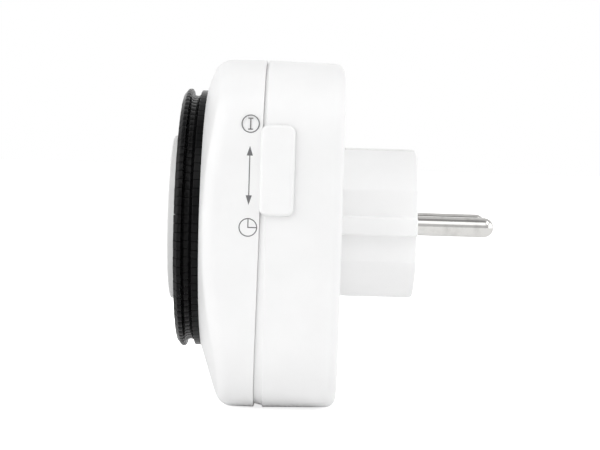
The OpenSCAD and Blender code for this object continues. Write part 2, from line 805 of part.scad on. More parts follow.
// Section of one segment, with the radius along X and y along Y
module segment_section() {
    difference() {
        union() {
            polygon([
                [foot_in_r, y_rim_front], [dial_r - lip_round, y_rim_front],
                [dial_r, y_rim_front + lip_round], [dial_r, y_groove - lip_edge],
                [dial_r - lip_edge, y_groove], [groove_mid_r, y_groove],
                [groove_mid_r, y_groove_back], [rim_r, y_groove_back], [rim_r, y_rim_back],
                [segment_outer_in_r, y_rim_back], [segment_outer_in_r, y_rim_front + bridge_t],
                [foot_out_r, y_rim_front + bridge_t], [foot_out_r, y_foot], [foot_in_r, y_foot]
            ]);
            translate([dial_r - lip_round, y_rim_front + lip_round]) circle(r = lip_round, $fn = small_fn);
        }
        translate([groove_mid_r, y_groove + groove_w / 2]) circle(r = groove_w / 2, $fn = small_fn);
    }
}

segment_pitch = 360 / (12 * bank_segments);
segment_angle = segment_pitch - segment_gap / dial_r * 180 / PI;

module segment_bank(bank) {
    color(black_plastic) for (i = [0 : bank_segments - 1]) {
        rotate([0, (bank * bank_segments + i) * segment_pitch, 0]) rotate([-90, 0, 0])
            rotate_extrude(angle = segment_angle, $fn = round_fn) segment_section();
    }
}

module segment_bank_01() { segment_bank(0); }
module segment_bank_02() { segment_bank(1); }
module segment_bank_03() { segment_bank(2); }
module segment_bank_04() { segment_bank(3); }
module segment_bank_05() { segment_bank(4); }
module segment_bank_06() { segment_bank(5); }
module segment_bank_07() { segment_bank(6); }
module segment_bank_08() { segment_bank(7); }
module segment_bank_09() { segment_bank(8); }
module segment_bank_10() { segment_bank(9); }
module segment_bank_11() { segment_bank(10); }
module segment_bank_12() { segment_bank(11); }

// ---- Drive ----

module drive_arbor() {
    color(steel) rod(arbor_r, y_gear - 0.3, y_plate_back, drive_x, drive_z, small_fn);
}

module drive_pinion() {
    pinion_angle = drive_angle + 180 + 180 / pinion_teeth;
    color(natural_plastic) difference() {
        union() {
            spur_gear(pinion_teeth, dial_module, y_gear, y_gear_back, arbor_r + running, pinion_angle,
                drive_x, drive_z);
            rod(sleeve_r, y_gear_back - eps, y_sleeve_end, drive_x, drive_z, small_fn);
            rod(sleeve_r + 1.4, y_flange_back + 0.4, y_wheel - 0.1, drive_x, drive_z, small_fn);
        }
        rod(arbor_r + running, y_gear - 1, y_sleeve_end + 1, drive_x, drive_z, small_fn);
    }
}

module clutch_wheel() {
    color(natural_plastic)
        spur_gear(wheel_teeth, wheel_module, y_wheel, y_wheel + wheel_t, sleeve_r + running, motor_angle,
            drive_x, drive_z);
}

module clutch_washer() {
    y0 = y_wheel + wheel_t + 0.1;
    color(steel) tube(sleeve_r + washer_w, sleeve_r, y0, y0 + washer_t, drive_x, drive_z, small_fn);
}

module gear_plate() {
    color(steel) difference() {
        plate(y_plate, y_plate_back) {
            translate([-plate_half_w, plate_low]) square([2 * plate_half_w, plate_high - plate_low]);
            for (s = [0, 1], p = [plate_posts[0]]) mirror([s, 0])
                translate([plate_half_w - 1, p[1] - 2 * plate_tab])
                    square([p[0] + plate_tab - plate_half_w + 1, 3 * plate_tab]);
        }
        for (p = plate_posts) rod(screw_r, y_plate - 1, y_plate_back + 1, p[0], p[1], small_fn);
        rod(arbor_r, y_plate - 1, y_plate_back + 1, drive_x, drive_z, small_fn);
        rod(shaft_r + running, y_plate - 1, y_plate_back + 1, motor_x, motor_z, small_fn);
    }
}

module plate_screws() {
    color(steel) for (p = plate_posts) screw(p[0], y_plate_back, p[1], plate_t + screw_bite);
}

module motor_gearbox() {
    color(natural_plastic) difference() {
        rod(motor_r, y_plate_back, y_motor, motor_x, motor_z);
        rod(shaft_r + running, y_plate_back - 1, y_motor - 1.5, motor_x, motor_z, small_fn);
    }
}

module motor_pinion() {
    pinion_angle = motor_angle + 180 + 180 / pinion_teeth;
    color(brass) {
        spur_gear(pinion_teeth, wheel_module, y_wheel - 0.2, y_wheel + wheel_t + 0.2, shaft_r, pinion_angle,
            motor_x, motor_z);
        rod(shaft_r, y_wheel - 0.6, y_motor - 2, motor_x, motor_z, small_fn);
    }
}

module motor_case() {
    color(steel) difference() {
        rod(motor_r, y_motor, y_motor + motor_t, motor_x, motor_z);
        rod(motor_r - motor_wall, y_motor - 1, y_motor + motor_t - motor_wall, motor_x, motor_z);
        rod(shaft_r + running, y_motor, y_motor + motor_t + 1, motor_x, motor_z, small_fn);
    }
}

module motor_coil() {
    color(copper) tube(motor_r - motor_wall - loose, rotor_r + 0.5, y_motor + loose,
        y_motor + motor_t - motor_wall - loose, motor_x, motor_z);
}

module motor_rotor() {
    color(black_plastic) {
        rod(rotor_r, y_motor + 0.8, y_motor + motor_t - motor_wall - 0.6, motor_x, motor_z, small_fn);
        rod(shaft_r, y_motor + 0.4, y_motor + motor_t, motor_x, motor_z, small_fn);
    }
}

// ---- Switching contact ----

module feeler_lever() {
    y_tip = y_recess + 0.1;
    y_nose = y_leaf - nose_gap;
    outline = [
        [lever_y - 1.4, lever_z - 1.4], [lever_y + 1.4, lever_z - 1.4], [y_nose, lever_nose_z - 1],
        [y_nose, lever_nose_z + 1], [y_nose - 1.6, lever_nose_z + 1], [lever_y, lever_z + 2.4],
        [y_channel_back + 1.8, lever_tip_z - 1], [y_channel_back + 1.2, lever_tip_z + 1],
        [y_tip, lever_tip_z + 1], [y_tip, lever_tip_z - 0.6], [y_channel_back, lever_tip_z - 1.2]
    ];
    color(natural_plastic) difference() {
        union() {
            translate([contact_x - lever_w / 2, 0, 0]) rotate([90, 0, 90])
                linear_extrude(height = lever_w) polygon(outline);
            rod_x(2, contact_x - lever_w / 2, contact_x + lever_w / 2, lever_y, lever_z);
        }
        rod_x(lever_pin_r + running, contact_x - lever_w, contact_x + lever_w, lever_y, lever_z);
    }
}

module lever_pin() {
    reach = lever_w / 2 + loose + ear_t;
    color(steel) rod_x(lever_pin_r, contact_x - reach, contact_x + reach, lever_y, lever_z);
}

module contact_leaf() {
    color(brass) block([contact_x - strap_w / 2, y_leaf, leaf_foot_z],
        [contact_x + strap_w / 2, y_leaf + leaf_t, contact_z + contact_pad_r + 0.7]);
}

module moving_contact() {
    y0 = y_leaf + leaf_t;
    color(chrome) rod(contact_pad_r, y0, y0 + contact_pad_t, contact_x, contact_z, small_fn);
}

module fixed_contact() {
    color(chrome) rod(contact_pad_r, y_fixed, y_fixed + fixed_pad_t, contact_x, contact_z, small_fn);
}

// ---- Slide switch ----

module switch_cap() {
    x0 = half_w + 0.15;
    color(white_plastic) {
        intersection() {
            translate([half_w - cap_round, y_cap + cap_w / 2, (cap_bottom + cap_top) / 2]) rotate([0, 90, 0])
                soft_plate(cap_h, cap_w, cap_corner, cap_round, cap_proud + cap_round);
            block([x0, -far, -far], [far, far, far]);
        }
        block([bar_x, y_stem - stem_w / 2, stem_mid_z - stem_h / 2],
            [x0 + 0.2, y_stem + stem_w / 2, stem_mid_z + stem_h / 2]);
    }
}

module switch_bar() {
    bar_in_x = bar_x - bar_t;
    color(natural_plastic) {
        block([bar_in_x, y_stem - bar_w / 2, stem_mid_z - bar_h / 2],
            [bar_x, y_stem + bar_w / 2, stem_mid_z + bar_h / 2]);
        block([bar_in_x - bump_h, y_stem - 0.8, bump_z - bump_half_h],
            [bar_x, y_stem + 0.8, bump_z + bump_half_h]);
    }
}

module switch_detent() {
    low_z = detent_foot_z - 0.4;
    in_x = detent_x - detent_t;
    color(steel) {
        block([in_x, y_stem - detent_half_w, low_z],
            [detent_x, y_stem + detent_half_w, stem_mid_z + bar_h / 2]);
        block([in_x, y_stem - detent_half_w, low_z],
            [half_w - wall, y_stem + detent_half_w, detent_foot_z]);
    }
}

front_cover();
rear_housing();
plug_body();
socket_insert();
line_pin();
neutral_pin();
earth_contact_top();
earth_contact_bottom();
line_sleeve();
neutral_sleeve();
line_in_busbar();
line_out_busbar();
neutral_busbar();
shutter();
shutter_spring();
dial_core();
dial_gear();
segment_bank_01();
segment_bank_02();
segment_bank_03();
segment_bank_04();
segment_bank_05();
segment_bank_06();
segment_bank_07();
segment_bank_08();
segment_bank_09();
segment_bank_10();
segment_bank_11();
segment_bank_12();
drive_arbor();
drive_pinion();
clutch_wheel();
clutch_washer();
gear_plate();
motor_gearbox();
motor_pinion();
motor_case();
motor_coil();
motor_rotor();
feeler_lever();
lever_pin();
contact_leaf();
moving_contact();
fixed_contact();
switch_cap();
switch_bar();
switch_detent();
housing_screws();
insert_screws();
plate_screws();
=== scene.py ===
"""Plug in timer switch: outer shells, dial, pins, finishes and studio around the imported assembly.

Lengths are millimetres unless a name says otherwise, and meshes are written in metres. The dial
faces -Y, the plug and its pins point to +Y, the slide switch is on +X and +Z is up.
"""

from __future__ import annotations

import logging
import math
from collections.abc import Iterable, Sequence
from dataclasses import dataclass
from enum import Enum

import bmesh
import bpy
from mathutils import Matrix, Vector

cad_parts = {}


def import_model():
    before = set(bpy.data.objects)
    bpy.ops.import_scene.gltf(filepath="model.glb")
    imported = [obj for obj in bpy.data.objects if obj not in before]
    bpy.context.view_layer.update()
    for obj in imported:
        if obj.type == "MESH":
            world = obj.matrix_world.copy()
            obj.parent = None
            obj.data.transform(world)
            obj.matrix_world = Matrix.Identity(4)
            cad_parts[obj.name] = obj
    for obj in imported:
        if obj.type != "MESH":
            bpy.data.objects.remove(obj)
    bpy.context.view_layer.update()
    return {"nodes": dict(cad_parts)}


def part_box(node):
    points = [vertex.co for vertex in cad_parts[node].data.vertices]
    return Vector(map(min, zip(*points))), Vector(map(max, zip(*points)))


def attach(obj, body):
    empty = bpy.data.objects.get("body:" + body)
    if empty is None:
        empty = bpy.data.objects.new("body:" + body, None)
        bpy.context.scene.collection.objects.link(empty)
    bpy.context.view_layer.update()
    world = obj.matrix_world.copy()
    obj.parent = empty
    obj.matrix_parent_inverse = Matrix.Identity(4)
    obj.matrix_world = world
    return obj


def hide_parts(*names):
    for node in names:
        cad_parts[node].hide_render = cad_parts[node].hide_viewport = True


MM = 0.001
WELD = 1e-4  # points nearer to each other than this become one
OVER = 1.0  # how far a cutter reaches past the surface that it opens
SINK = 0.01  # how deep a print sits in the surface below it
FLOOR_GAP = 0.05  # gap between the timer and the floor
CAPITAL_SHARE = 0.72  # height of a capital as a share of the letters' size
log = logging.getLogger("timer_switch")

Ring = list[Vector]
Pairs = Sequence[tuple[float, float]]
FORWARD = Vector((0, -1, 0))
BACKWARD = Vector((0, 1, 0))


class Slot(Enum):
    """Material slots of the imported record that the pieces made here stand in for."""

    WHITE = "white_plastic"
    BLACK = "black_plastic"
    PIN = "pin_metal"


class Cut(Enum):
    """What a boolean does with its second solid."""

    FUSE = "UNION"
    CARVE = "DIFFERENCE"


# ---- Shader maths ----


@dataclass(frozen=True)
class Wire:
    """An output socket in a finish, with arithmetic that adds Math nodes."""

    graph: Graph
    socket: bpy.types.NodeSocket

    def math(self, operation: str, *values: Wire | float) -> Wire:
        """Adds one Math node.

        Args:
            operation: The Math node's operation.
            values: Its values, in order.

        Returns:
            The node's result.
        """
        settings = {"operation": operation}
        return self.graph.node("ShaderNodeMath", settings, dict(enumerate(values)))

    def __add__(self, other: Wire | float) -> Wire:
        """Sum."""
        return self.math("ADD", self, other)

    __radd__ = __add__

    def __mul__(self, other: Wire | float) -> Wire:
        """Product."""
        return self.math("MULTIPLY", self, other)

    __rmul__ = __mul__

    def __sub__(self, other: Wire | float) -> Wire:
        """Difference."""
        return self.math("SUBTRACT", self, other)

    def __rsub__(self, other: float) -> Wire:
        """Difference, with the number first."""
        return self.math("SUBTRACT", other, self)

    def step(self, low: float, high: float) -> Wire:
        """Smooth step of this value.

        Args:
            low: Value that gives 0.
            high: Value that gives 1.

        Returns:
            The step, from 0 to 1.
        """
        settings = {"interpolation_type": "SMOOTHSTEP"}
        return self.graph.node("ShaderNodeMapRange", settings, {0: self, 1: low, 2: high})


class Graph:
    """Node tree of one finish or of the world."""

    def __init__(self, tree: bpy.types.NodeTree) -> None:
        """Takes over a node tree and empties it."""
        self.tree = tree
        tree.nodes.clear()

    def node(self, kind: str, settings: dict | None = None, inputs: dict | None = None,
             output: int | str = 0) -> Wire:
        """Adds a node of any type.

        Args:
            kind: The node's type.
            settings: Its own settings, which are set first.
            inputs: Values or wires by the socket's number or name.
            output: The output wanted.

        Returns:
            The output as a wire.
        """
        made = self.tree.nodes.new(kind)
        for name, value in (settings or {}).items():
            setattr(made, name, value)
        for key, value in (inputs or {}).items():
            if isinstance(value, Wire):
                self.tree.links.new(value.socket, made.inputs[key])
            else:
                made.inputs[key].default_value = value
        return Wire(self, made.outputs[output] if made.outputs else None)

    def noise(self, size: float, detail: float = 2.0,
              stretch: Sequence[float] = (1, 1, 1)) -> Wire:
        """Noise fixed to the piece.

        Args:
            size: Size of its features.
            detail: How many finer layers it has.
            stretch: Factors on the coordinates along each axis.

        Returns:
            A value around 0.5.
        """
        place = self.node("ShaderNodeTexCoord", output="Object")
        placed = self.node("ShaderNodeVectorMath", {"operation": "MULTIPLY"},
                           {0: place, 1: stretch})
        return self.node("ShaderNodeTexNoise", None,
                         {"Vector": placed, "Scale": 1 / (size * MM), "Detail": detail})

    def blend(self, factor: Wire, first: Sequence[float], second: Sequence[float]) -> Wire:
        """Mixes two colours.

        Args:
            factor: 0 for the first colour and 1 for the second.
            first: The first colour.
            second: The second colour.

        Returns:
            The mixed colour.
        """
        return self.node("ShaderNodeMix", {"data_type": "RGBA"},
                         {0: factor, 6: (*first, 1), 7: (*second, 1)}, output=2)

    def bump(self, height: Wire, depth: float) -> Wire:
        """Turns a height into a normal.

        Args:
            height: Height from 0 to 1.
            depth: Real height of 1.

        Returns:
            The normal.
        """
        return self.node("ShaderNodeBump", None,
                         {"Height": height, "Distance": depth * MM, "Strength": 1.0})


def new_material(name: str) -> tuple[bpy.types.Material, Graph]:
    """Makes a material with an empty node tree.

    Args:
        name: Name of the material.

    Returns:
        The material and its graph.
    """
    material = bpy.data.materials.new(name)
    material.use_nodes = True
    return material, Graph(material.node_tree)


class Finish:
    """A material that is built once and shared by the pieces that wear it."""

    made: dict[Finish, bpy.types.Material] = {}

    def material(self) -> bpy.types.Material:
        """The finish's material, built at its first use.

        Returns:
            The material.
        """
        if self not in Finish.made:
            material, graph = new_material(self.name)
            shader = graph.node("ShaderNodeBsdfPrincipled", None, self.surface(graph))
            graph.node("ShaderNodeOutputMaterial", None, {"Surface": shader})
            Finish.made[self] = material
        return Finish.made[self]

    def surface(self, graph: Graph) -> dict[str, object]:
        """Values and wires of the surface shader."""
        raise NotImplementedError


@dataclass(frozen=True)
class MouldedPlastic(Finish):
    """Satin moulded plastic: a fine mould texture, faint flow clouds and uneven gloss.

    Attributes:
        name: Name of the finish.
        colour: Its colour.
        roughness: Middle of its roughness.
        grain: Size of the mould texture.
        relief: Height of the mould texture.
        cloud: How far the clouds change the colour.
    """

    name: str
    colour: tuple[float, float, float]
    roughness: float = 0.42
    grain: float = 0.22
    relief: float = 0.004
    cloud: float = 0.02

    def surface(self, graph: Graph) -> dict[str, object]:
        """Builds the mould texture, the clouds and the gloss.

        Args:
            graph: The material's graph.

        Returns:
            Values and wires of the surface shader.
        """
        clouds = graph.noise(9.0, 3.0)
        grain = graph.noise(self.grain, 2.0)
        darker = tuple(c * (1 - self.cloud) for c in self.colour)
        return {
            "Base Color": graph.blend(clouds.step(0.3, 0.7), darker, self.colour),
            "Roughness": (clouds - 0.5) * 0.12 + (grain - 0.5) * 0.1 + self.roughness,
            "Normal": graph.bump(grain + graph.noise(0.9, 1.0) * 0.6, self.relief),
        }


@dataclass(frozen=True)
class DialPlastic(Finish):
    """Black acetal of the dial: dull silk with faint handling streaks along the rim.

    Attributes:
        name: Name of the finish.
        colour: Its colour.
        worn: Colour of the handled streaks.
        roughness: Middle of its roughness.
        gleam: Level of its reflections.
    """

    name: str = "dial_black_acetal"
    colour: tuple[float, float, float] = (0.004, 0.004, 0.0043)
    worn: tuple[float, float, float] = (0.009, 0.009, 0.0094)
    roughness: float = 0.2
    gleam: float = 0.12

    def surface(self, graph: Graph) -> dict[str, object]:
        """Builds the streaks, the silk and the uneven gloss.

        Args:
            graph: The material's graph.

        Returns:
            Values and wires of the surface shader.
        """
        streaks = graph.noise(0.5, 4.0, (1, 6, 1))
        patches = graph.noise(3.5, 2.0)
        grain = graph.noise(0.14, 1.0)
        return {
            "Base Color": graph.blend(streaks.step(0.45, 0.75) * patches.step(0.4, 0.7),
                                      self.colour, self.worn),
            "Roughness": (streaks - 0.5) * 0.14 + (patches - 0.5) * 0.1 + self.roughness,
            "Specular IOR Level": self.gleam,
            "Normal": graph.bump(grain + streaks * 0.5, 0.003),
        }


@dataclass(frozen=True)
class DrawnMetal(Finish):
    """Plated or drawn metal with fine lines along its working direction.

    Attributes:
        name: Name of the finish.
        colour: Its colour.
        tarnish: Colour of the duller patches.
        roughness: Middle of its roughness.
        lines: Factors on the coordinates that stretch the lines.
        relief: Height of the lines.
    """

    name: str
    colour: tuple[float, float, float]
    tarnish: tuple[float, float, float]
    roughness: float = 0.16
    lines: tuple[float, float, float] = (1.0, 0.04, 1.0)
    relief: float = 0.0012

    def surface(self, graph: Graph) -> dict[str, object]:
        """Builds the lines and the tarnished patches.

        Args:
            graph: The material's graph.

        Returns:
            Values and wires of the surface shader.
        """
        lines = graph.noise(0.12, 3.0, self.lines)
        patches = graph.noise(2.6, 3.0)
        return {
            "Metallic": 1.0,
            "Base Color": graph.blend(patches.step(0.42, 0.78), self.colour, self.tarnish),
            "Roughness": (patches - 0.5) * 0.12 + (lines - 0.5) * 0.1 + self.roughness,
            "Normal": graph.bump(lines, self.relief),
        }


@dataclass(frozen=True)
class WoundCopper(Finish):
    """Enamelled copper wire, turn beside turn along Y, with painted shading between the turns.

    Attributes:
        name: Name of the finish.
        colour: Colour of the wire's ridges.
        crease_shade: Painted shading between the turns, darker than the ridges.
        wire: Thickness of the wire.
    """

    name: str = "coil_enamelled_wire"
    colour: tuple[float, float, float] = (0.45, 0.14, 0.05)
    crease_shade: tuple[float, float, float] = (0.2, 0.05, 0.02)
    wire: float = 0.16

    def surface(self, graph: Graph) -> dict[str, object]:
        """Builds the turns of the wire and the painted shading between them.

        Args:
            graph: The material's graph.

        Returns:
            Values and wires of the surface shader.
        """
        place = graph.node("ShaderNodeTexCoord", output="Object")
        along = graph.node("ShaderNodeSeparateXYZ", None, {0: place}, output="Y")
        turn = along * (math.tau / (self.wire * MM))
        ridge = turn.math("SINE", turn) * 0.5 + 0.5
        uneven = graph.noise(0.8, 2.0)
        return {
            "Metallic": 0.7,
            # the colour darkens between the turns: painted shading in the creases of the winding
            "Base Color": graph.blend(ridge * uneven.step(0.2, 0.6), self.crease_shade, self.colour),
            "Roughness": uneven * 0.2 + 0.2,
            "Normal": graph.bump(ridge, 0.03),
        }


@dataclass(frozen=True)
class PrintedInk(Finish):
    """Pad printed ink, slightly uneven in tone and gloss.

    Attributes:
        name: Name of the finish.
        colour: Its colour where the ink is full.
        thin: Its colour where the ink is thin.
    """

    name: str
    colour: tuple[float, float, float]
    thin: tuple[float, float, float]

    def surface(self, graph: Graph) -> dict[str, object]:
        """Builds the uneven ink.

        Args:
            graph: The material's graph.

        Returns:
            Values and wires of the surface shader.
        """
        speckle = graph.noise(0.12, 2.0)
        return {
            "Base Color": graph.blend(speckle.step(0.35, 0.75), self.colour, self.thin),
            "Roughness": speckle * 0.2 + 0.4,
            "Normal": graph.bump(speckle, 0.002),
        }


SHELL = MouldedPlastic("shell_white_plastic", (0.9, 0.9, 0.9), 0.4)
# The plug's white is lighter than the shell's: its own white plastic, plus painted light for the
# light that the housing's back keeps off the plug.
PLUG = MouldedPlastic("plug_white_with_painted_light", (0.96, 0.96, 0.96), 0.46, 0.3)
CAP = MouldedPlastic("cap_white_plastic", (0.91, 0.91, 0.91), 0.3, 0.3, 0.003)
# The insert's white is lighter than the shell's: its own white plastic, plus painted light for the
# light that the black dial keeps off the collar.
INSERT = MouldedPlastic("insert_white_with_painted_light", (0.95, 0.95, 0.945), 0.42, 0.26)
GEAR = MouldedPlastic("gear_natural_acetal", (0.78, 0.76, 0.68), 0.36, 0.3, 0.004, 0.05)
DIAL = DialPlastic()
PIN_PLATING = DrawnMetal("pin_nickel_plating", (0.78, 0.77, 0.75), (0.66, 0.65, 0.63), 0.14)
EARTH = DrawnMetal("earth_nickel_plating", (0.9, 0.9, 0.89), (0.82, 0.82, 0.81), 0.3,
                   (0.1, 1, 1), 0.001)
ZINC = DrawnMetal("steel_zinc_plating", (0.6, 0.61, 0.63), (0.46, 0.47, 0.49), 0.3,
                  (1, 1, 1), 0.003)
BRASS = DrawnMetal("contact_brass", (0.72, 0.52, 0.22), (0.55, 0.36, 0.14), 0.26,
                   (1, 0.1, 1), 0.002)
SILVER = DrawnMetal("contact_silver_face", (0.86, 0.85, 0.82), (0.6, 0.57, 0.5), 0.22)
COPPER = WoundCopper()
MARK_INK = PrintedInk("mark_grey_ink", (0.13, 0.13, 0.135), (0.2, 0.2, 0.205))
NUMERAL_INK = PrintedInk("numeral_white_ink", (0.85, 0.85, 0.84), (0.7, 0.7, 0.69))


# ---- Mesh building ----


def linked(name: str, data: bpy.types.ID) -> bpy.types.Object:
    """Makes an object and links it to the scene.

    Args:
        name: Name of the object.
        data: Its mesh, curve or camera.

    Returns:
        The object.
    """
    thing = bpy.data.objects.new(name, data)
    bpy.context.scene.collection.objects.link(thing)
    return thing


class Skin:
    """Points and faces of one mesh, built from rings of points."""

    def __init__(self) -> None:
        """Starts an empty skin."""
        self.points: list[Vector] = []
        self.faces: list[tuple[int, ...]] = []

    def add(self, points: Iterable[Vector]) -> list[int]:
        """Adds points.

        Args:
            points: The points.

        Returns:
            Their numbers.
        """
        start = len(self.points)
        self.points.extend(points)
        return list(range(start, len(self.points)))

    def bridge(self, first: Sequence[int], second: Sequence[int], closed: bool = True) -> None:
        """Joins two rings of the same length with quads.

        Args:
            first: Numbers of the first ring's points.
            second: Numbers of the second ring's points.
            closed: Whether each ring closes on itself.
        """
        count = len(first)
        for i in range(count if closed else count - 1):
            j = (i + 1) % count
            self.faces.append((first[i], first[j], second[j], second[i]))

    def loft(self, rings: Iterable[Ring], looped: bool = False, capped: bool = False) -> Skin:
        """Joins rings in order.

        Args:
            rings: The rings, each with as many points as the first.
            looped: Whether the last ring joins the first.
            capped: Whether a flat face closes each end.

        Returns:
            The skin itself.
        """
        numbers = [self.add(ring) for ring in rings]
        for first, second in zip(numbers, numbers[1:]):
            self.bridge(first, second)
        if looped:
            self.bridge(numbers[-1], numbers[0])
        if capped:
            self.faces.append(tuple(numbers[0]))
            self.faces.append(tuple(reversed(numbers[-1])))
        return self

    def build(self, name: str) -> bpy.types.Object:
        """Makes the object, in metres, with its faces turned outwards.

        Args:
            name: Name of the object.

        Returns:
            The object, linked to the scene.
        """
        mesh = bpy.data.meshes.new(name)
        mesh.from_pydata([p * MM for p in self.points], [], self.faces)
        made = bmesh.new()
        made.from_mesh(mesh)
        bmesh.ops.remove_doubles(made, verts=made.verts, dist=MM * WELD)
        bmesh.ops.recalc_face_normals(made, faces=made.faces)
        made.to_mesh(mesh)
        made.free()
        return linked(name, mesh)


def arc(start: Vector, end: Vector, steps: int) -> list[Vector]:
    """Unit vectors that turn from one direction to another.

    Args:
        start: First direction.
        end: Last direction.
        steps: Number of steps between them.

    Returns:
        The directions, both ends included.
    """
    angle = start.angle(end)
    if angle < 1e-6:
        return [start.copy() for _ in range(steps + 1)]
    return [(start * math.sin(angle * (1 - t)) + end * math.sin(angle * t)) / math.sin(angle)
            for t in (i / steps for i in range(steps + 1))]


def circle(radius: float, y: float, angles: Sequence[float], x: float = 0.0,
           z: float = 0.0) -> Ring:
    """Ring around Y.

    Args:
        radius: Its radius.
        y: Its place along Y.
        angles: Angle of each point, from +X towards +Z.
        x: Centre along X.
        z: Centre along Z.

    Returns:
        The ring.
    """
    return [Vector((x + radius * math.cos(a), y, z + radius * math.sin(a))) for a in angles]


def even_angles(count: int) -> list[float]:
    """Angles spread evenly around a circle."""
    return [math.tau * i / count for i in range(count)]


def radial(angle: float) -> Vector:
    """Unit vector away from the Y axis, at an angle from +X towards +Z."""
    return Vector((math.cos(angle), 0, math.sin(angle)))


def polar(away: Vector, radius: float, y: float) -> Vector:
    """Point at a distance from the Y axis, in a direction away from it."""
    return away * radius + Vector((0, y, 0))


def rounded_profile(corners: Sequence[tuple[float, float, float]],
                    steps: int = 5) -> list[tuple[float, float]]:
    """Rounds the corners of a closed outline.

    Args:
        corners: Both coordinates and the fillet radius of each corner, in order.
        steps: Number of steps around each fillet.

    Returns:
        The outline's points.
    """
    points: list[tuple[float, float]] = []
    count = len(corners)
    for i, (u, v, radius) in enumerate(corners):
        here = Vector((u, v))
        if radius <= 0:
            points.append((u, v))
            continue
        back = (Vector(corners[i - 1][:2]) - here).normalized()
        ahead = (Vector(corners[(i + 1) % count][:2]) - here).normalized()
        half = back.angle(ahead) / 2
        centre = here + (back + ahead).normalized() * (radius / math.sin(half))
        first = here + back * (radius / math.tan(half)) - centre
        last = here + ahead * (radius / math.tan(half)) - centre
        for turn in arc(first.normalized(), last.normalized(), steps):
            points.append(tuple(centre + turn * radius))
    return points


def turned(name: str, profile: Pairs, count: int = 128, x: float = 0.0,
           z: float = 0.0) -> bpy.types.Object:
    """Solid of revolution about a line along Y.

    Args:
        name: Name of the object.
        profile: Radius and Y of each point around the closed outline.
        count: Number of points around.
        x: Place of the axis along X.
        z: Place of the axis along Z.

    Returns:
        The object.
    """
    angles = even_angles(count)
    rings = [circle(max(r, 0.0), y, angles, x, z) for r, y in profile]
    return Skin().loft(rings, looped=True).build(name)


def bar(radius: float, start: Sequence[float], end: Sequence[float],
        count: int = 48) -> bpy.types.Object:
    """Round bar between two points.

    Args:
        radius: Its radius.
        start: Middle of one end.
        end: Middle of the other end.
        count: Number of points around.

    Returns:
        The object.
    """
    ends = Vector(start), Vector(end)
    side = (ends[1] - ends[0]).orthogonal().normalized()
    other = (ends[1] - ends[0]).cross(side).normalized()
    rings = [[middle + (side * math.cos(a) + other * math.sin(a)) * radius
              for a in even_angles(count)] for middle in ends]
    return Skin().loft(rings, capped=True).build("bar")


def box_solid(low: Sequence[float], high: Sequence[float]) -> bpy.types.Object:
    """Box between two corners.

    Args:
        low: Lowest corner.
        high: Highest corner.

    Returns:
        The object.
    """
    (x0, y0, z0), (x1, y1, z1) = low, high
    ends = [[Vector((x, y, z)) for x, z in ((x0, z0), (x1, z0), (x1, z1), (x0, z1))]
            for y in (y0, y1)]
    return Skin().loft(ends, capped=True).build("box")


def drill(radius: float, x: float, z: float, start: float, end: float) -> bpy.types.Object:
    """Cutter of a round hole along Y.

    Args:
        radius: Its radius.
        x: Its place along X.
        z: Its place along Z.
        start: Y of one end.
        end: Y of the other end.

    Returns:
        The cutter.
    """
    return bar(radius, (x, start, z), (x, end, z), 32)


def bake_modifiers(thing: bpy.types.Object) -> bpy.types.Object:
    """Applies an object's modifiers to its mesh.

    Args:
        thing: The object.

    Returns:
        The same object.
    """
    graph = bpy.context.evaluated_depsgraph_get()
    mesh = bpy.data.meshes.new_from_object(thing.evaluated_get(graph))
    thing.modifiers.clear()
    thing.data = mesh
    return thing


def combine(thing: bpy.types.Object, others: Sequence[bpy.types.Object],
            cut: Cut) -> bpy.types.Object:
    """Adds solids to an object or takes them from it.

    Args:
        thing: The object.
        others: The solids, which are used up.
        cut: Whether they are added or taken away.

    Returns:
        The object with the result.
    """
    for other in others:
        modifier = thing.modifiers.new("cut", "BOOLEAN")
        modifier.operation = cut.value
        modifier.solver = "EXACT"
        modifier.object = other
    bake_modifiers(thing)
    for other in others:
        bpy.data.objects.remove(other)
    return thing


def gathered(name: str, things: Iterable[bpy.types.Object]) -> bpy.types.Object:
    """Puts several meshes into one object.

    Args:
        name: Name of the new object.
        things: The objects, which are used up.

    Returns:
        The object.
    """
    made = bmesh.new()
    for thing in things:
        mesh = thing.data.copy()
        mesh.transform(thing.matrix_world)
        made.from_mesh(mesh)
        bpy.data.meshes.remove(mesh)
        bpy.data.objects.remove(thing)
    whole = bpy.data.meshes.new(name)
    made.to_mesh(whole)
    made.free()
    return linked(name, whole)


def written(text: str, height: float, thickness: float, place: Matrix) -> bpy.types.Object:
    """Mesh of a printed word, centred on its place.

    Args:
        text: The word.
        height: Height of its capitals.
        thickness: Thickness of the ink.
        place: Where it stands, with the word along X and its face towards +Z.

    Returns:
        The object.
    """
    curve = bpy.data.curves.new("word", "FONT")
    curve.body = text
    curve.size = height * MM / CAPITAL_SHARE
    curve.extrude = thickness * MM
    curve.align_x, curve.align_y = "CENTER", "CENTER"
    curve.resolution_u = 4
    word = linked("word", curve)
    bpy.context.view_layer.update()
    graph = bpy.context.evaluated_depsgraph_get()
    mesh = bpy.data.meshes.new_from_object(word.evaluated_get(graph))
    bpy.data.objects.remove(word)
    mesh.transform(place)
    return linked("letters", mesh)


def soften(thing: bpy.types.Object, width: float, segments: int = 3,
           limit: float = 40.0) -> bpy.types.Object:
    """Rounds the sharp edges of a clean solid.

    Args:
        thing: The object.
        width: Width of the rounding.
        segments: Number of steps in it.
        limit: Least angle of an edge that is rounded, in degrees.

    Returns:
        The same object.
    """
    modifier = thing.modifiers.new("round", "BEVEL")
    modifier.width = width * MM
    modifier.segments = segments
    modifier.limit_method = "ANGLE"
    modifier.angle_limit = math.radians(limit)
    modifier.use_clamp_overlap = True
    modifier.harden_normals = False
    return bake_modifiers(thing)


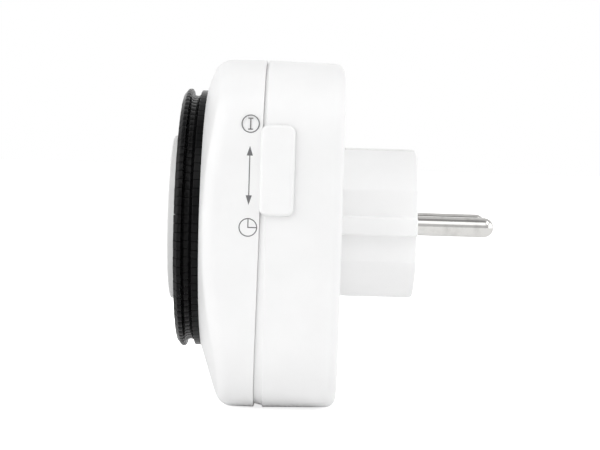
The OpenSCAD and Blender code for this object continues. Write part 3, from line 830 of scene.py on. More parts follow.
def dress(thing: bpy.types.Object, finish: Finish, body: str,
          nodes: Sequence[str] = (), crease: float = 32.0) -> bpy.types.Object:
    """Shades a piece, gives it its finish and lets it ride on its body.

    Args:
        thing: The piece.
        finish: Its finish.
        body: The body that carries it.
        nodes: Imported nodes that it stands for.
        crease: Least angle of an edge that stays sharp, in degrees.

    Returns:
        The piece.
    """
    mesh = thing.data
    mesh.materials.clear()
    mesh.materials.append(finish.material())
    mesh.shade_smooth()
    mesh.set_sharp_from_angle(angle=math.radians(crease))
    weighted = thing.modifiers.new("even_shading", "WEIGHTED_NORMAL")
    weighted.keep_sharp = True
    weighted.weight = 80
    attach(thing, body)
    if nodes:
        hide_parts(*nodes)
    log.info("%s rides on %s: %d faces, %s", thing.name, body, len(mesh.polygons),
             finish.name)
    return thing


# ---- Shared sizes ----


@dataclass(frozen=True)
class Station:
    """A point on an outline, in the XZ plane, with the outline's outward direction."""

    point: Vector
    outward: Vector

    def at(self, inset: float) -> Vector:
        """The point moved inwards by inset."""
        return self.point - self.outward * inset

    def out(self) -> Vector:
        """The outward direction in space."""
        return Vector((self.outward.x, 0, self.outward.y))

    def place(self, inset: float, y: float) -> Vector:
        """The point in space, moved inwards by inset."""
        flat = self.at(inset)
        return Vector((flat.x, y, flat.y))


@dataclass(frozen=True)
class Frame:
    """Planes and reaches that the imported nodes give.

    Attributes:
        half_w: Half the housing's width.
        top: Height of the housing's top.
        bottom: Height of the housing's bottom, which is negative.
        y_back: Back of the rear housing.
        y_spigot: End of the cover's spigot.
        y_face: Edge of the cover's face at the dial.
        y_rim_front: Front of the dial.
        y_rim_back: Back of the dial's rim.
        y_collar: Front of the socket's collar.
        y_gear_back: Back of the dial's hub.
        y_plug_back: Back of the plug body's flange.
        y_plate: Front of the gear plate.
        pin_x: Distance of a pin from the middle.
        pin_tip: Reach of the pins.
        pin_tail: Inner end of the pins.
        spigot: Length of the cover's spigot behind its rear edge.
        seam_w: Width of the shadow gap at the height of the axis.
        recess_depth: Depth of the cover's recess for the dial.
        recess_t: Thickness of that recess's floor.
        flange_gap: Gap between the dial's hub and the socket insert's flange.
    """

    half_w: float
    top: float
    bottom: float
    y_back: float
    y_spigot: float
    y_face: float
    y_rim_front: float
    y_rim_back: float
    y_collar: float
    y_gear_back: float
    y_plug_back: float
    y_plate: float
    pin_x: float
    pin_tip: float
    pin_tail: float
    spigot: float = 3.6
    seam_w: float = 1.2
    recess_depth: float = 2.4
    recess_t: float = 1.4
    flange_gap: float = 0.4

    @classmethod
    def measure(cls) -> Frame:
        """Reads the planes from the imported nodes.

        Returns:
            The frame.
        """
        cover, rear = corners("front_cover"), corners("rear_housing")
        bank, core, pin = (corners(n) for n in ("segment_bank_01", "dial_core", "line_pin"))
        return cls(
            half_w=rear[1].x, top=rear[1].z, bottom=rear[0].z, y_back=rear[1].y,
            y_spigot=cover[1].y, y_face=cover[0].y,
            y_rim_front=bank[0].y, y_rim_back=bank[1].y, y_collar=corners("socket_insert")[0].y,
            y_gear_back=core[1].y, y_plug_back=corners("plug_body")[0].y,
            y_plate=corners("gear_plate")[0].y,
            pin_x=(pin[0].x + pin[1].x) / 2, pin_tip=pin[1].y, pin_tail=pin[0].y,
        )

    @property
    def y_cover_edge(self) -> float:
        """Rear edge of the front cover, at the height of the axis."""
        return self.y_spigot - self.spigot

    @property
    def y_back_edge(self) -> float:
        """Front edge of the rear housing, at the height of the axis."""
        return self.y_cover_edge + self.seam_w

    @property
    def y_recess(self) -> float:
        """Floor of the cover's recess for the dial."""
        return self.y_face + self.recess_depth

    @property
    def y_channel_back(self) -> float:
        """Back of that floor."""
        return self.y_recess + self.recess_t

    @property
    def y_flange(self) -> float:
        """Front of the socket insert's flange."""
        return self.y_gear_back + self.flange_gap


def corners(node: str) -> tuple[Vector, Vector]:
    """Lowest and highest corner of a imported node."""
    low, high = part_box(node)
    return low / MM, high / MM


@dataclass(frozen=True)
class Fits:
    """Sizes that two or more pieces share.

    Attributes:
        wall: Thickness of the housing's walls.
        edge_r: Rounding of the rear housing's back edge.
        corner_r: Radius of the housing's corners, seen from the front.
        dial_r: Radius of the dial ring.
        recess_gap: Gap around the dial ring.
        seam_depth: Depth of the shadow gap.
        seam_round: Rounding of the cover's edge at the gap.
        seam_lean: Lean of the cover's rear edge, in degrees.
        face_slope: Slope of the cover's conical face, in degrees.
        well_r: Radius of the socket's well.
        collar_r: Outer radius of the socket's collar.
        hub_bore_r: Radius of the bore in the dial's hub.
        hub_r: Outer radius of that hub.
        plug_r: Radius of the plug body.
        plug_hole_r: Radius of the rear housing's hole around it.
        pin_r: Radius of a pin.
        pin_seat_r: Radius of a pin inside the plug's face.
        pin_shoulder_r: Radius of a pin's shoulder behind the face.
        post_r: Radius of the housing's screw posts.
        post_wall: Gap between a post and the housing's wall.
        screw_r: Radius of a pilot hole.
        screw_hole_r: Radius of a screw's clearance hole.
        insert_post: Place of the insert's posts along X and Z.
    """

    wall: float = 2.4
    edge_r: float = 2.5
    corner_r: float = 18.0
    dial_r: float = 31.95
    recess_gap: float = 0.25
    seam_depth: float = 1.25
    seam_round: float = 0.2
    seam_lean: float = 0.65
    face_slope: float = 18.5
    well_r: float = 19.3
    collar_r: float = 20.25
    hub_bore_r: float = 20.3
    hub_r: float = 22.5
    plug_r: float = 18.5
    plug_hole_r: float = 18.6
    pin_r: float = 2.4
    pin_seat_r: float = 2.65
    pin_shoulder_r: float = 3.0
    post_r: float = 3.0
    post_wall: float = 0.3
    screw_r: float = 1.0
    screw_hole_r: float = 1.3
    insert_post: float = 19.97

    @property
    def recess_r(self) -> float:
        """Radius of the cover's recess around the dial."""
        return self.dial_r + self.recess_gap

    @property
    def lean(self) -> float:
        """Rise of the cover's leaning rear edge. The rear housing's edge has half of it."""
        return math.tan(math.radians(self.seam_lean))

    @property
    def slope(self) -> float:
        """Rise of the cover's conical face."""
        return math.tan(math.radians(self.face_slope))

    def insert_posts(self) -> list[tuple[float, float]]:
        """X and Z of the posts that carry the socket insert."""
        c = self.insert_post
        return [(x * c, z * c) for x in (-1, 1) for z in (-1, 1)]


@dataclass(frozen=True)
class Outline:
    """The housing's rounded outline, seen from the front.

    Attributes:
        corner_steps: Number of steps around a corner.
        side_steps: Number of steps along a side.
    """

    frame: Frame
    fits: Fits
    corner_steps: int = 24
    side_steps: int = 14

    @property
    def corner_x(self) -> float:
        """Distance of the corners' centres from the middle."""
        return self.frame.half_w - self.fits.corner_r

    @property
    def mid_z(self) -> float:
        """Height of the housing's middle."""
        return (self.frame.top + self.frame.bottom) / 2

    @property
    def corner_z(self) -> float:
        """Height of the corners' centres above the middle."""
        return (self.frame.top - self.frame.bottom) / 2 - self.fits.corner_r

    def stations(self) -> list[Station]:
        """Stations once around the outline.

        Returns:
            The stations, from +X towards +Z.
        """
        made: list[Station] = []
        signs = ((1, 1), (-1, 1), (-1, -1), (1, -1))
        for quarter, (sx, sz) in enumerate(signs):
            centre = Vector((sx * self.corner_x, self.mid_z + sz * self.corner_z))
            for i in range(self.corner_steps + 1):
                angle = math.pi / 2 * (quarter + i / self.corner_steps)
                out = Vector((math.cos(angle), math.sin(angle)))
                made.append(Station(centre + out * self.fits.corner_r, out))
            nx, nz = signs[(quarter + 1) % 4]
            following = Vector((nx * self.corner_x, self.mid_z + nz * self.corner_z))
            for i in range(1, self.side_steps):
                middle = centre.lerp(following, i / self.side_steps)
                made.append(Station(middle + out * self.fits.corner_r, out))
        return made

    def posts(self) -> list[Vector]:
        """Centres of the four screw posts.

        Returns:
            X and Z of the centres.
        """
        fits = self.fits
        inset = fits.wall + fits.post_r + fits.post_wall
        offset = (fits.corner_r - inset) / math.sqrt(2)
        return [Vector((sx * (self.corner_x + offset), self.mid_z + sz * (self.corner_z + offset)))
                for sx in (-1, 1) for sz in (-1, 1)]


def rolled_edge(station: Station, inset: float, y: float, radius: float, start: Vector,
                end: Vector, steps: int) -> list[Vector]:
    """Points of a fillet around one station.

    Args:
        station: The station.
        inset: Inset of the fillet's centre.
        y: Place of the fillet's centre along Y.
        radius: Radius of the fillet.
        start: Direction of its first point.
        end: Direction of its last point.
        steps: Number of steps around it.

    Returns:
        The points.
    """
    centre = station.place(inset, y)
    return [centre + turn * radius for turn in arc(start, end, steps)]


# ---- Housing ----


@dataclass(frozen=True)
class Housing:
    """Front cover and rear housing.

    Attributes:
        recess_round: Rounding of the cover's edge around the dial.
        hub_hole_r: Radius of the hole for the dial's hub.
        hole_round: Rounding of the plug's hole.
        head_r: Radius of the screw heads' recesses.
        head_depth: Depth of those recesses.
        head_chamfer: Chamfer around them.
        plug_seat_r: Radius inside the wall around the plug's flange.
        plug_seat_wall: Thickness of that wall.
        cover_draft: Draft of the cover's sides, as a rise.
        rear_draft: Draft of the rear housing's sides, as a rise.
        ridge_r: Rounding between the cover's face and its sides.
        seam_slit: Width of the slit beside the ramp in the shadow gap.
        seam_edge_r: Rounding of the rear housing's edge at the gap.
        ledge_depth: Depth of the ramp in the shadow gap, beside that edge.
        ramp_depth: Depth of the ramp at its other end.
        gap_fit: Play between the rear housing and the cover's spigot.
        spigot_edge: Chamfer and play at the spigot's end.
        post_root: How deep the housing's screw posts stand in the cover.
        insert_root: How deep the insert's posts and the lever's ears stand in it.
        insert_post_r: Radius of the posts that carry the socket insert.
        ear_t: Thickness of the feeler lever's ears.
        ear_margin: Their width around the lever's pin.
        pilot: Depth of the pilot holes in the housing's posts.
        screw_way: Length of the screws' clearance holes ahead of the seam.
        feeler_slot: Half the width and half the height of the feeler's slot.
        pilot_floor: Depth at which the pilot holes in the insert's posts end.
        stem_slot_start: Gap between the cover's rear edge and the stem's way through the spigot.
        stem_slot_half_w: Half the width of the slot for the switch's stem.
        stem_slot_shift: Place of that slot's middle behind the cap's middle.
        stem_slot_down: Reach of the slot below the cap's middle.
        stem_slot_up: Its reach above the cap's middle.
    """

    frame: Frame
    fits: Fits
    outline: Outline
    recess_round: float = 0.3
    hub_hole_r: float = 22.8
    hole_round: float = 0.35
    head_r: float = 2.7
    head_depth: float = 6.0
    head_chamfer: float = 0.25
    plug_seat_r: float = 20.6
    plug_seat_wall: float = 1.6
    cover_draft: float = 0.0105
    rear_draft: float = 0.022
    ridge_r: float = 3.8
    seam_slit: float = 0.08
    seam_edge_r: float = 0.3
    ledge_depth: float = 0.42
    ramp_depth: float = 0.85
    gap_fit: float = 0.1
    spigot_edge: float = 0.3
    post_root: float = 0.3
    insert_root: float = 0.5
    insert_post_r: float = 2.6
    ear_t: float = 1.1
    ear_margin: float = 1.4
    pilot: float = 8.0
    screw_way: float = 5.0
    feeler_slot: tuple[float, float] = (1.8, 2.0)
    pilot_floor: float = 0.6
    stem_slot_start: float = 0.4
    stem_slot_half_w: float = 1.7
    stem_slot_shift: float = -0.1
    stem_slot_down: float = 7.9
    stem_slot_up: float = 5.3

    def face_y(self, radius: float) -> float:
        """Y of the cover's conical face at a distance from the axis."""
        return self.frame.y_face + self.fits.slope * (radius - self.fits.recess_r)

    def side_x(self, y: float) -> float:
        """X of the cover's side on +X."""
        return self.frame.half_w - self.cover_draft * (self.frame.y_cover_edge - y)

    def front_cover(self) -> bpy.types.Object:
        """Builds the front cover.

        Returns:
            The cover.
        """
        fits, frame = self.fits, self.frame
        slope_angle = math.radians(fits.face_slope)
        columns: list[list[Vector]] = []
        for station in self.outline.stations():
            hub = station.at(self.ridge_r)
            away = radial(math.atan2(hub.y, hub.x))
            cone_out = away * math.sin(slope_angle) + FORWARD * math.cos(slope_angle)
            lip_r = fits.recess_r + self.recess_round
            y_lip = self.face_y(lip_r) + self.recess_round / math.cos(slope_angle)
            lip = polar(away, lip_r, y_lip)
            column = [polar(away, self.hub_hole_r, frame.y_recess),
                      polar(away, fits.recess_r, frame.y_recess)]
            column += [lip + turn * self.recess_round for turn in arc(-away, cone_out, 5)]
            y_ridge = self.face_y(hub.length) + self.ridge_r / math.cos(slope_angle)
            drawn_in = self.cover_draft * (frame.y_cover_edge - y_ridge)
            ridge = rolled_edge(station, self.ridge_r + drawn_in, y_ridge, self.ridge_r,
                                cone_out, station.out(), 16)
            ridge_r = Vector((ridge[0].x, ridge[0].z)).length
            first_r = Vector((column[-1].x, column[-1].z)).length
            for t in (0.25, 0.5, 0.75):
                radius = first_r + (ridge_r - first_r) * t
                column.append(polar(away, radius, self.face_y(radius)))
            column += ridge
            y_seam = frame.y_cover_edge + station.point.y * fits.lean
            y_roll = y_seam - fits.seam_round
            column += [ridge[-1].lerp(station.place(0, y_roll), t) for t in (0.33, 0.67)]
            column += rolled_edge(station, fits.seam_round, y_roll, fits.seam_round,
                                  station.out(), BACKWARD, 4)
            rise = fits.slope * (station.at(fits.wall).length - fits.recess_r)
            column += [station.place(fits.seam_depth, y_seam),
                       station.place(fits.seam_depth, frame.y_spigot - self.spigot_edge),
                       station.place(fits.seam_depth + self.spigot_edge, frame.y_spigot),
                       station.place(fits.wall, frame.y_spigot),
                       station.place(fits.wall, frame.y_channel_back + rise),
                       polar(away, fits.recess_r, frame.y_channel_back),
                       polar(away, self.hub_hole_r, frame.y_channel_back)]
            columns.append(column)
        cover = Skin().loft(columns_to_rings(columns), looped=True).build("front_cover_shell")
        combine(cover, self._cover_posts(), Cut.FUSE)
        combine(cover, self._cover_openings(), Cut.CARVE)
        return dress(cover, SHELL, "housing", ["front_cover"])

    def _cover_posts(self) -> list[bpy.types.Object]:
        """Screw posts and the feeler lever's ears, inside the cover.

        Returns:
            The posts and ears.
        """
        fits, frame = self.fits, self.frame
        posts = []
        for post in self.outline.posts():
            rise = fits.slope * (post.length - fits.post_r - fits.recess_r)
            y0 = frame.y_channel_back + rise - self.post_root
            posts.append(bar(fits.post_r, (post.x, y0, post.y),
                             (post.x, frame.y_cover_edge, post.y)))
        y0 = frame.y_channel_back - self.insert_root
        posts += [bar(self.insert_post_r, (x, y0, z), (x, frame.y_flange, z))
                  for x, z in fits.insert_posts()]
        low, high = corners("lever_pin")
        margin = self.ear_margin
        posts += [box_solid((x, y0, low.z - margin),
                            (x + self.ear_t, high.y + margin, high.z + margin))
                  for x in (low.x, high.x - self.ear_t)]
        return posts

    def _cover_openings(self) -> list[bpy.types.Object]:
        """Cutters of the pilot holes, the feeler's slot and the switch's way, in the cover.

        Returns:
            The cutters.
        """
        fits, frame = self.fits, self.frame
        low, high = corners("lever_pin")
        middle = (low + high) / 2
        y1 = frame.y_back_edge
        cutters = [drill(fits.screw_r, p.x, p.y, y1 - self.pilot, y1)
                   for p in self.outline.posts()]
        y0 = frame.y_recess + self.pilot_floor
        cutters += [drill(fits.screw_r, x, z, y0, frame.y_flange + OVER)
                    for x, z in fits.insert_posts()]
        cutters.append(bar(fits.screw_r, (low.x - OVER, middle.y, middle.z),
                           (high.x + OVER, middle.y, middle.z), 32))
        tip_z = corners("feeler_lever")[1].z - 1  # middle of the feeler's tip
        across, along = self.feeler_slot
        cutters.append(box_solid((middle.x - across, frame.y_recess - OVER, tip_z - along),
                                 (middle.x + across, frame.y_channel_back + OVER, tip_z + along)))
        cutters.append(self._stem_slot(frame.y_cover_edge + self.stem_slot_start, 0))
        return cutters

    def _stem_slot(self, y0: float, y1: float) -> bpy.types.Object:
        """Cutter through the side for the switch's stem.

        Args:
            y0: Its front.
            y1: Its back.

        Returns:
            The cutter.
        """
        low, high = corners("switch_cap")
        mid_z = (low.z + high.z) / 2
        half_w = self.frame.half_w
        return box_solid((half_w - self.fits.wall - OVER, y0, mid_z - self.stem_slot_down),
                         (half_w + OVER, y1, mid_z + self.stem_slot_up))

    def rear_housing(self) -> bpy.types.Object:
        """Builds the rear housing.

        Returns:
            The rear housing.
        """
        fits, frame = self.fits, self.frame
        y_inner = frame.y_back - fits.wall
        y_seat = y_inner - self.plug_seat_wall
        columns: list[list[Vector]] = []
        for station in self.outline.stations():
            flat = station.at(fits.edge_r)
            away = radial(math.atan2(flat.y, flat.x))
            z = station.point.y
            y_seam = frame.y_back_edge - z * fits.lean / 2
            y_tip = frame.y_cover_edge + z * fits.lean + self.seam_slit
            edge_r = self.seam_edge_r
            drawn_in = self.rear_draft * (frame.y_back - fits.edge_r - y_seam)
            mouth = polar(away, fits.plug_hole_r + self.hole_round, frame.y_back - self.hole_round)
            column = [polar(away, fits.plug_hole_r, y_inner)]
            column += [mouth + turn * self.hole_round for turn in arc(-away, BACKWARD, 4)]
            column.append(column[-1].lerp(station.place(fits.edge_r, frame.y_back), 0.5))
            column += rolled_edge(station, fits.edge_r + drawn_in, frame.y_back - fits.edge_r,
                                  fits.edge_r, BACKWARD, station.out(), 12)
            column += [column[-1].lerp(station.place(0, y_seam + edge_r), t) for t in (0.33, 0.67)]
            column += rolled_edge(station, edge_r, y_seam + edge_r, edge_r, station.out(),
                                  FORWARD, 4)
            inset, y_stop = fits.seam_depth - self.gap_fit, frame.y_spigot + self.spigot_edge
            column += [station.place(self.ledge_depth, y_seam),
                       station.place(self.ramp_depth, y_tip), station.place(inset, y_tip),
                       station.place(inset, y_stop), station.place(fits.wall, y_stop),
                       station.place(fits.wall, y_inner)]
            seat_out = self.plug_seat_r + self.plug_seat_wall
            column += [polar(away, seat_out, y_inner), polar(away, seat_out, y_seat),
                       polar(away, self.plug_seat_r, y_seat),
                       polar(away, self.plug_seat_r, y_inner)]
            columns.append(column)
        rear = Skin().loft(columns_to_rings(columns), looped=True).build("rear_housing_shell")
        posts, y_back = self.outline.posts(), frame.y_back
        y_post = frame.y_cover_edge + self.gap_fit
        combine(rear, [bar(fits.post_r, (p.x, y_post, p.y), (p.x, y_back - 1, p.y))
                       for p in posts], Cut.FUSE)
        y_floor, r, chamfer = y_back - self.head_depth, self.head_r, self.head_chamfer
        head = [(0, y_floor), (r, y_floor), (r, y_back - chamfer), (r + chamfer, y_back),
                (r + chamfer, y_back + OVER), (0, y_back + OVER)]
        cutters = [turned("recess", head, 48, p.x, p.y) for p in posts]
        cutters += [drill(fits.screw_hole_r, p.x, p.y, frame.y_back_edge - self.screw_way,
                          y_floor + OVER) for p in posts]
        low, high = corners("switch_cap")
        y_stem = (low.y + high.y) / 2 + self.stem_slot_shift
        cutters.append(self._stem_slot(y_stem - self.stem_slot_half_w,
                                       y_stem + self.stem_slot_half_w))
        combine(rear, cutters, Cut.CARVE)
        return dress(rear, SHELL, "housing", ["rear_housing"])


def columns_to_rings(columns: Sequence[Sequence[Vector]]) -> list[Ring]:
    """Turns columns of points, one for each station, into rings around the piece."""
    return [list(ring) for ring in zip(*columns)]


def outline_stations(points: Pairs) -> list[Station]:
    """Stations along a closed outline that runs from +X towards +Z.

    Args:
        points: X and Z of its points.

    Returns:
        A station for each point.
    """
    made: list[Station] = []
    for i, point in enumerate(points):
        before = Vector(point) - Vector(points[i - 1])
        after = Vector(points[(i + 1) % len(points)]) - Vector(point)
        out = sum((Vector((d.y, -d.x)).normalized() for d in (before, after)), Vector((0, 0)))
        made.append(Station(Vector(point), out.normalized()))
    return made


# ---- Plug ----


@dataclass(frozen=True)
class Plug:
    """Plug body with its side flats and guide ribs, and its two pins.

    Attributes:
        flats_x: Distance of the side flats from the middle.
        rib_half_w: Half the width of a guide rib.
        rib_round: Rounding of its edges.
        flat_round: Rounding between a flat and the round top.
        end_round: Rounding around the plug's face.
        flange_r: Radius of the flange inside the housing.
        cavity_r: Radius of the hollow behind the face.
        face_t: Thickness of the face.
        boss_r: Radius of the bosses around the pins.
        strap_half_w: Half the width of the earth contacts' slots.
        strap_floor_z: Height of the slots' floors.
        strap_inner_z: Height of the contacts' inner ends.
    """

    frame: Frame
    fits: Fits
    flats_x: float = 16.35
    rib_half_w: float = 2.2
    rib_round: float = 0.5
    flat_round: float = 1.2
    end_round: float = 0.45
    flange_r: float = 20.5
    cavity_r: float = 13.95
    face_t: float = 2.4
    boss_r: float = 4.4
    strap_half_w: float = 4.2
    strap_floor_z: float = 17.65
    strap_inner_z: float = 12.2

    def section(self) -> list[Station]:
        """Stations around the plug body.

        Returns:
            The stations.
        """
        r, flat, rib = self.fits.plug_r, self.flats_x, self.rib_half_w
        first = math.asin(math.sqrt(1 - (flat / r) ** 2))
        rib_x = math.sqrt(r * r - rib * rib)
        half_x = math.sqrt(r * r - rib * rib / 4)
        side = [(rib_x, -rib, self.rib_round), (half_x, -rib / 2, 0), (r, 0, 0),
                (half_x, rib / 2, 0), (rib_x, rib, self.rib_round),
                (flat, rib, self.rib_round / 2), (flat, r * math.sin(first), self.flat_round)]
        steps = 44
        top = [(r * math.cos(a), r * math.sin(a), 0) for a in
               (first + (math.pi - 2 * first) * i / steps for i in range(1, steps))]
        right = [(x, -z, rounding) for x, z, rounding in side[:-3:-1]] + side
        half = right + top
        whole = half + [(-x, -z, rounding) for x, z, rounding in half]
        return outline_stations(rounded_profile(whole))

    def body(self) -> bpy.types.Object:
        """Builds the plug body.

        Returns:
            The plug body.
        """
        fits, frame = self.fits, self.frame
        stations = self.section()
        angles = [math.atan2(s.point.y, s.point.x) for s in stations]
        y_shoulder = frame.y_back - fits.wall
        rings = [circle(self.cavity_r, -self.face_t, angles),
                 circle(self.cavity_r, frame.y_plug_back, angles),
                 circle(self.flange_r, frame.y_plug_back, angles),
                 circle(self.flange_r, y_shoulder, angles),
                 circle(fits.plug_r, y_shoulder, angles),
                 circle(fits.plug_r, frame.y_back, angles),
                 [s.place(0, frame.y_back) for s in stations],
                 [s.place(0, frame.y_back / 2) for s in stations]]
        q = self.end_round
        rings += columns_to_rings([rolled_edge(s, q, -q, q, s.out(), BACKWARD, 5)
                                   for s in stations])
        body = Skin().loft(rings, capped=True).build("plug_body_shell")
        combine(body, [bar(self.boss_r, (x, frame.y_back, 0), (x, -1, 0))
                       for x in (-frame.pin_x, frame.pin_x)], Cut.FUSE)
        holes = [self._pin_hole(side) for side in (-1, 1)]
        combine(body, holes + self._strap_slots(), Cut.CARVE)
        return dress(body, PLUG, "housing", ["plug_body"])

    def _pin_hole(self, side: int) -> bpy.types.Object:
        """Cutter of one pin's seat, with a softened mouth.

        Args:
            side: 1 on +X and -1 on -X.

        Returns:
            The cutter.
        """
        seat, shoulder, mouth = self.fits.pin_seat_r, self.fits.pin_shoulder_r, 0.15
        y0, y_step = self.frame.y_back - OVER, -self.face_t - 1
        hole = [(0, y0), (shoulder, y0), (shoulder, y_step), (seat, y_step), (seat, -mouth),
                (seat + mouth, 0), (seat + mouth, OVER), (0, OVER)]
        return turned("hole", hole, 64, side * self.frame.pin_x)

    def _strap_slots(self) -> list[bpy.types.Object]:
        """Cutters of the slots that the two earth contacts lie in.

        Returns:
            The cutters.
        """
        w, back, inner = self.strap_half_w, self.frame.y_back, self.strap_inner_z
        outer = self.fits.plug_r + 1.5
        slots = ((back + 1, OVER, self.strap_floor_z, outer),
                 (back + 1, back + 2.2, inner - 0.2, outer),
                 (back - 8, back + 2, inner, inner + 1))
        cutters = []
        for up in (1, -1):
            for y0, y1, z0, z1 in slots:
                low, high = sorted((up * z0, up * z1))
                cutters.append(box_solid((-w, y0, low), (w, y1, high)))
        return cutters

    def pin(self, name: str, side: int, node: str) -> bpy.types.Object:
        """Builds one pin.

        Args:
            name: Name of the piece.
            side: 1 on +X and -1 on -X.
            node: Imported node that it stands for.

        Returns:
            The pin.
        """
        fits, frame = self.fits, self.frame
        r, seat, shoulder = fits.pin_r, fits.pin_seat_r, fits.pin_shoulder_r
        y_tip, y_step, y_root = frame.pin_tip - r, -self.face_t - 1, frame.y_back + 1
        steps = 14
        tip = [(r * math.cos(a), y_tip + r * math.sin(a)) for a in
               (math.pi / 2 * i / steps for i in range(steps + 1))]
        profile = rounded_profile([
            (0, frame.pin_tail, 0), (seat, frame.pin_tail, 0.2), (seat, y_root, 0),
            (shoulder, y_root, 0.15), (shoulder, y_step, 0.15), (seat, y_step, 0),
            (seat, 0, 0.12), (r, 0, 0.06), (r, y_tip * 0.5, 0)], 4)
        pin = turned(name, profile + tip, 96, side * frame.pin_x)
        return dress(pin, PIN_PLATING, "housing", [node])


# ---- Socket ----


@dataclass(frozen=True)
class SocketInsert:
    """Collar, well and flange around the socket, with its guide lugs.

    Attributes:
        well_depth: Depth of the well.
        floor_t: Thickness of its floor.
        lug_x: Distance of the guide lugs from the middle.
        notch_half_w: Half the width of the notch between two lugs.
        lug_start: Depth of the lugs' front ends.
        lug_round: Rounding of their edges.
        pin_hole_r: Radius of the pin holes.
        pin_hole_flare: Width of the flare around them.
        clip_half_w: Half the width of the earth clips' slots.
        clip_z: Height of those slots.
        flange_r: Radius of the flange behind the cover.
        flange_half_w: Half the flange's width between its flats.
        flange_t: Thickness of the flange.
        hub: Radius and length of the shutter's hub.
        plate_post_r: Radius of the gear plate's posts.
        plate_posts: X and Z of those posts.
        drive_r: Radius of the hole for the drive's arbor.
        drive: X and Z of that hole.
    """

    frame: Frame
    fits: Fits
    well_depth: float = 17.5
    floor_t: float = 2.0
    lug_x: float = 16.9
    notch_half_w: float = 2.5
    lug_start: float = 1.5
    lug_round: float = 0.35
    pin_hole_r: float = 2.8
    pin_hole_flare: float = 0.6
    clip_half_w: float = 4.2
    clip_z: float = 17.8
    flange_r: float = 30.943
    flange_half_w: float = 24.493
    flange_t: float = 1.6
    hub: tuple[float, float] = (1.5, 3.4)
    plate_post_r: float = 2.2
    plate_posts: Pairs = ((21.99, -14), (-21.99, -14), (-16, -23.02))
    drive_r: float = 2.3
    drive: tuple[float, float] = (9.293, -26.988)

    def build(self) -> bpy.types.Object:
        """Builds the insert.

        Returns:
            The insert.
        """
        fits, frame = self.fits, self.frame
        y_well = frame.y_collar + self.well_depth
        y_back = y_well + self.floor_t
        well_r, collar_r, y_front = fits.well_r, fits.collar_r, frame.y_collar
        insert = turned("socket_insert_shell", rounded_profile([
            (0, y_well, 0), (well_r, y_well, 0.35), (well_r, y_front, 0.3),
            (collar_r, y_front, 0.45), (collar_r, y_back, 0), (0, y_back, 0)]), 160)
        y0, y1 = frame.y_flange, frame.y_flange + self.flange_t
        root_r = collar_r - 0.2
        flange = turned("flange", [(root_r, y0), (self.flange_r, y0), (self.flange_r, y1),
                                   (root_r, y1)])
        far = self.flange_r + OVER
        sides = (-far, -self.flange_half_w), (self.flange_half_w, far)
        combine(flange, [box_solid((x0, y0 - 5, -far), (x1, y1 + 5, far)) for x0, x1 in sides],
                Cut.CARVE)
        posts = [bar(self.plate_post_r, (x, y0, z), (x, frame.y_plate, z))
                 for x, z in self.plate_posts]
        hub_r, hub_length = self.hub
        hub = bar(hub_r, (0, y_back - 0.5, 0), (0, y_back + hub_length, 0))
        combine(insert, [flange, *posts, hub, *self._lugs(y_well)], Cut.FUSE)
        combine(insert, self._holes(y_well, y_back), Cut.CARVE)
        return dress(insert, INSERT, "housing", ["socket_insert"])

    def _lugs(self, y_well: float) -> list[bpy.types.Object]:
        """The four halves of the guide lugs.

        Args:
            y_well: Y of the well's floor.

        Returns:
            The lugs.
        """
        reach = self.fits.well_r + 0.3
        first, last = math.asin(self.notch_half_w / reach), math.acos(self.lug_x / reach)
        depths = self.frame.y_collar + self.lug_start, y_well + 0.5
        steps = 12
        outline = [(self.lug_x, self.notch_half_w)]
        outline += [(reach * math.cos(a), reach * math.sin(a)) for a in
                    (first + (last - first) * i / steps for i in range(steps + 1))]
        lugs = []
        for sx, sz in ((-1, -1), (-1, 1), (1, -1), (1, 1)):
            ends = [[Vector((sx * x, y, sz * z)) for x, z in outline] for y in depths]
            lugs.append(soften(Skin().loft(ends, capped=True).build("lug"), self.lug_round))
        return lugs

    def _holes(self, y_well: float, y_back: float) -> list[bpy.types.Object]:
        """Cutters of the pin holes, the clips' slots and the screw holes.

        Args:
            y_well: Y of the well's floor.
            y_back: Y of that floor's back.

        Returns:
            The cutters.
        """
        fits, frame = self.fits, self.frame
        cutters = []
        r, flare, w = self.pin_hole_r, self.pin_hole_flare, self.clip_half_w
        front, rear = y_well - OVER, y_back + OVER
        hole = [(0, front), (r + flare, front), (r + flare, y_well), (r, y_well + flare),
                (r, rear), (0, rear)]
        for side in (-1, 1):
            cutters.append(turned("hole", hole, 64, side * frame.pin_x))
            low, high = sorted((side * self.clip_z, side * (self.clip_z + 1)))
            cutters.append(box_solid((-w, front, low), (w, rear, high)))
        y0, y1 = frame.y_flange, frame.y_flange + self.flange_t
        cutters += [drill(fits.screw_hole_r, x, z, y0 - OVER, y1 + OVER)
                    for x, z in fits.insert_posts()]
        cutters += [drill(fits.screw_r, x, z, y1, frame.y_plate + OVER)
                    for x, z in self.plate_posts]
        cutters.append(drill(self.drive_r, *self.drive, y0 - OVER, y1 + OVER))
        return cutters


# ---- Dial ----


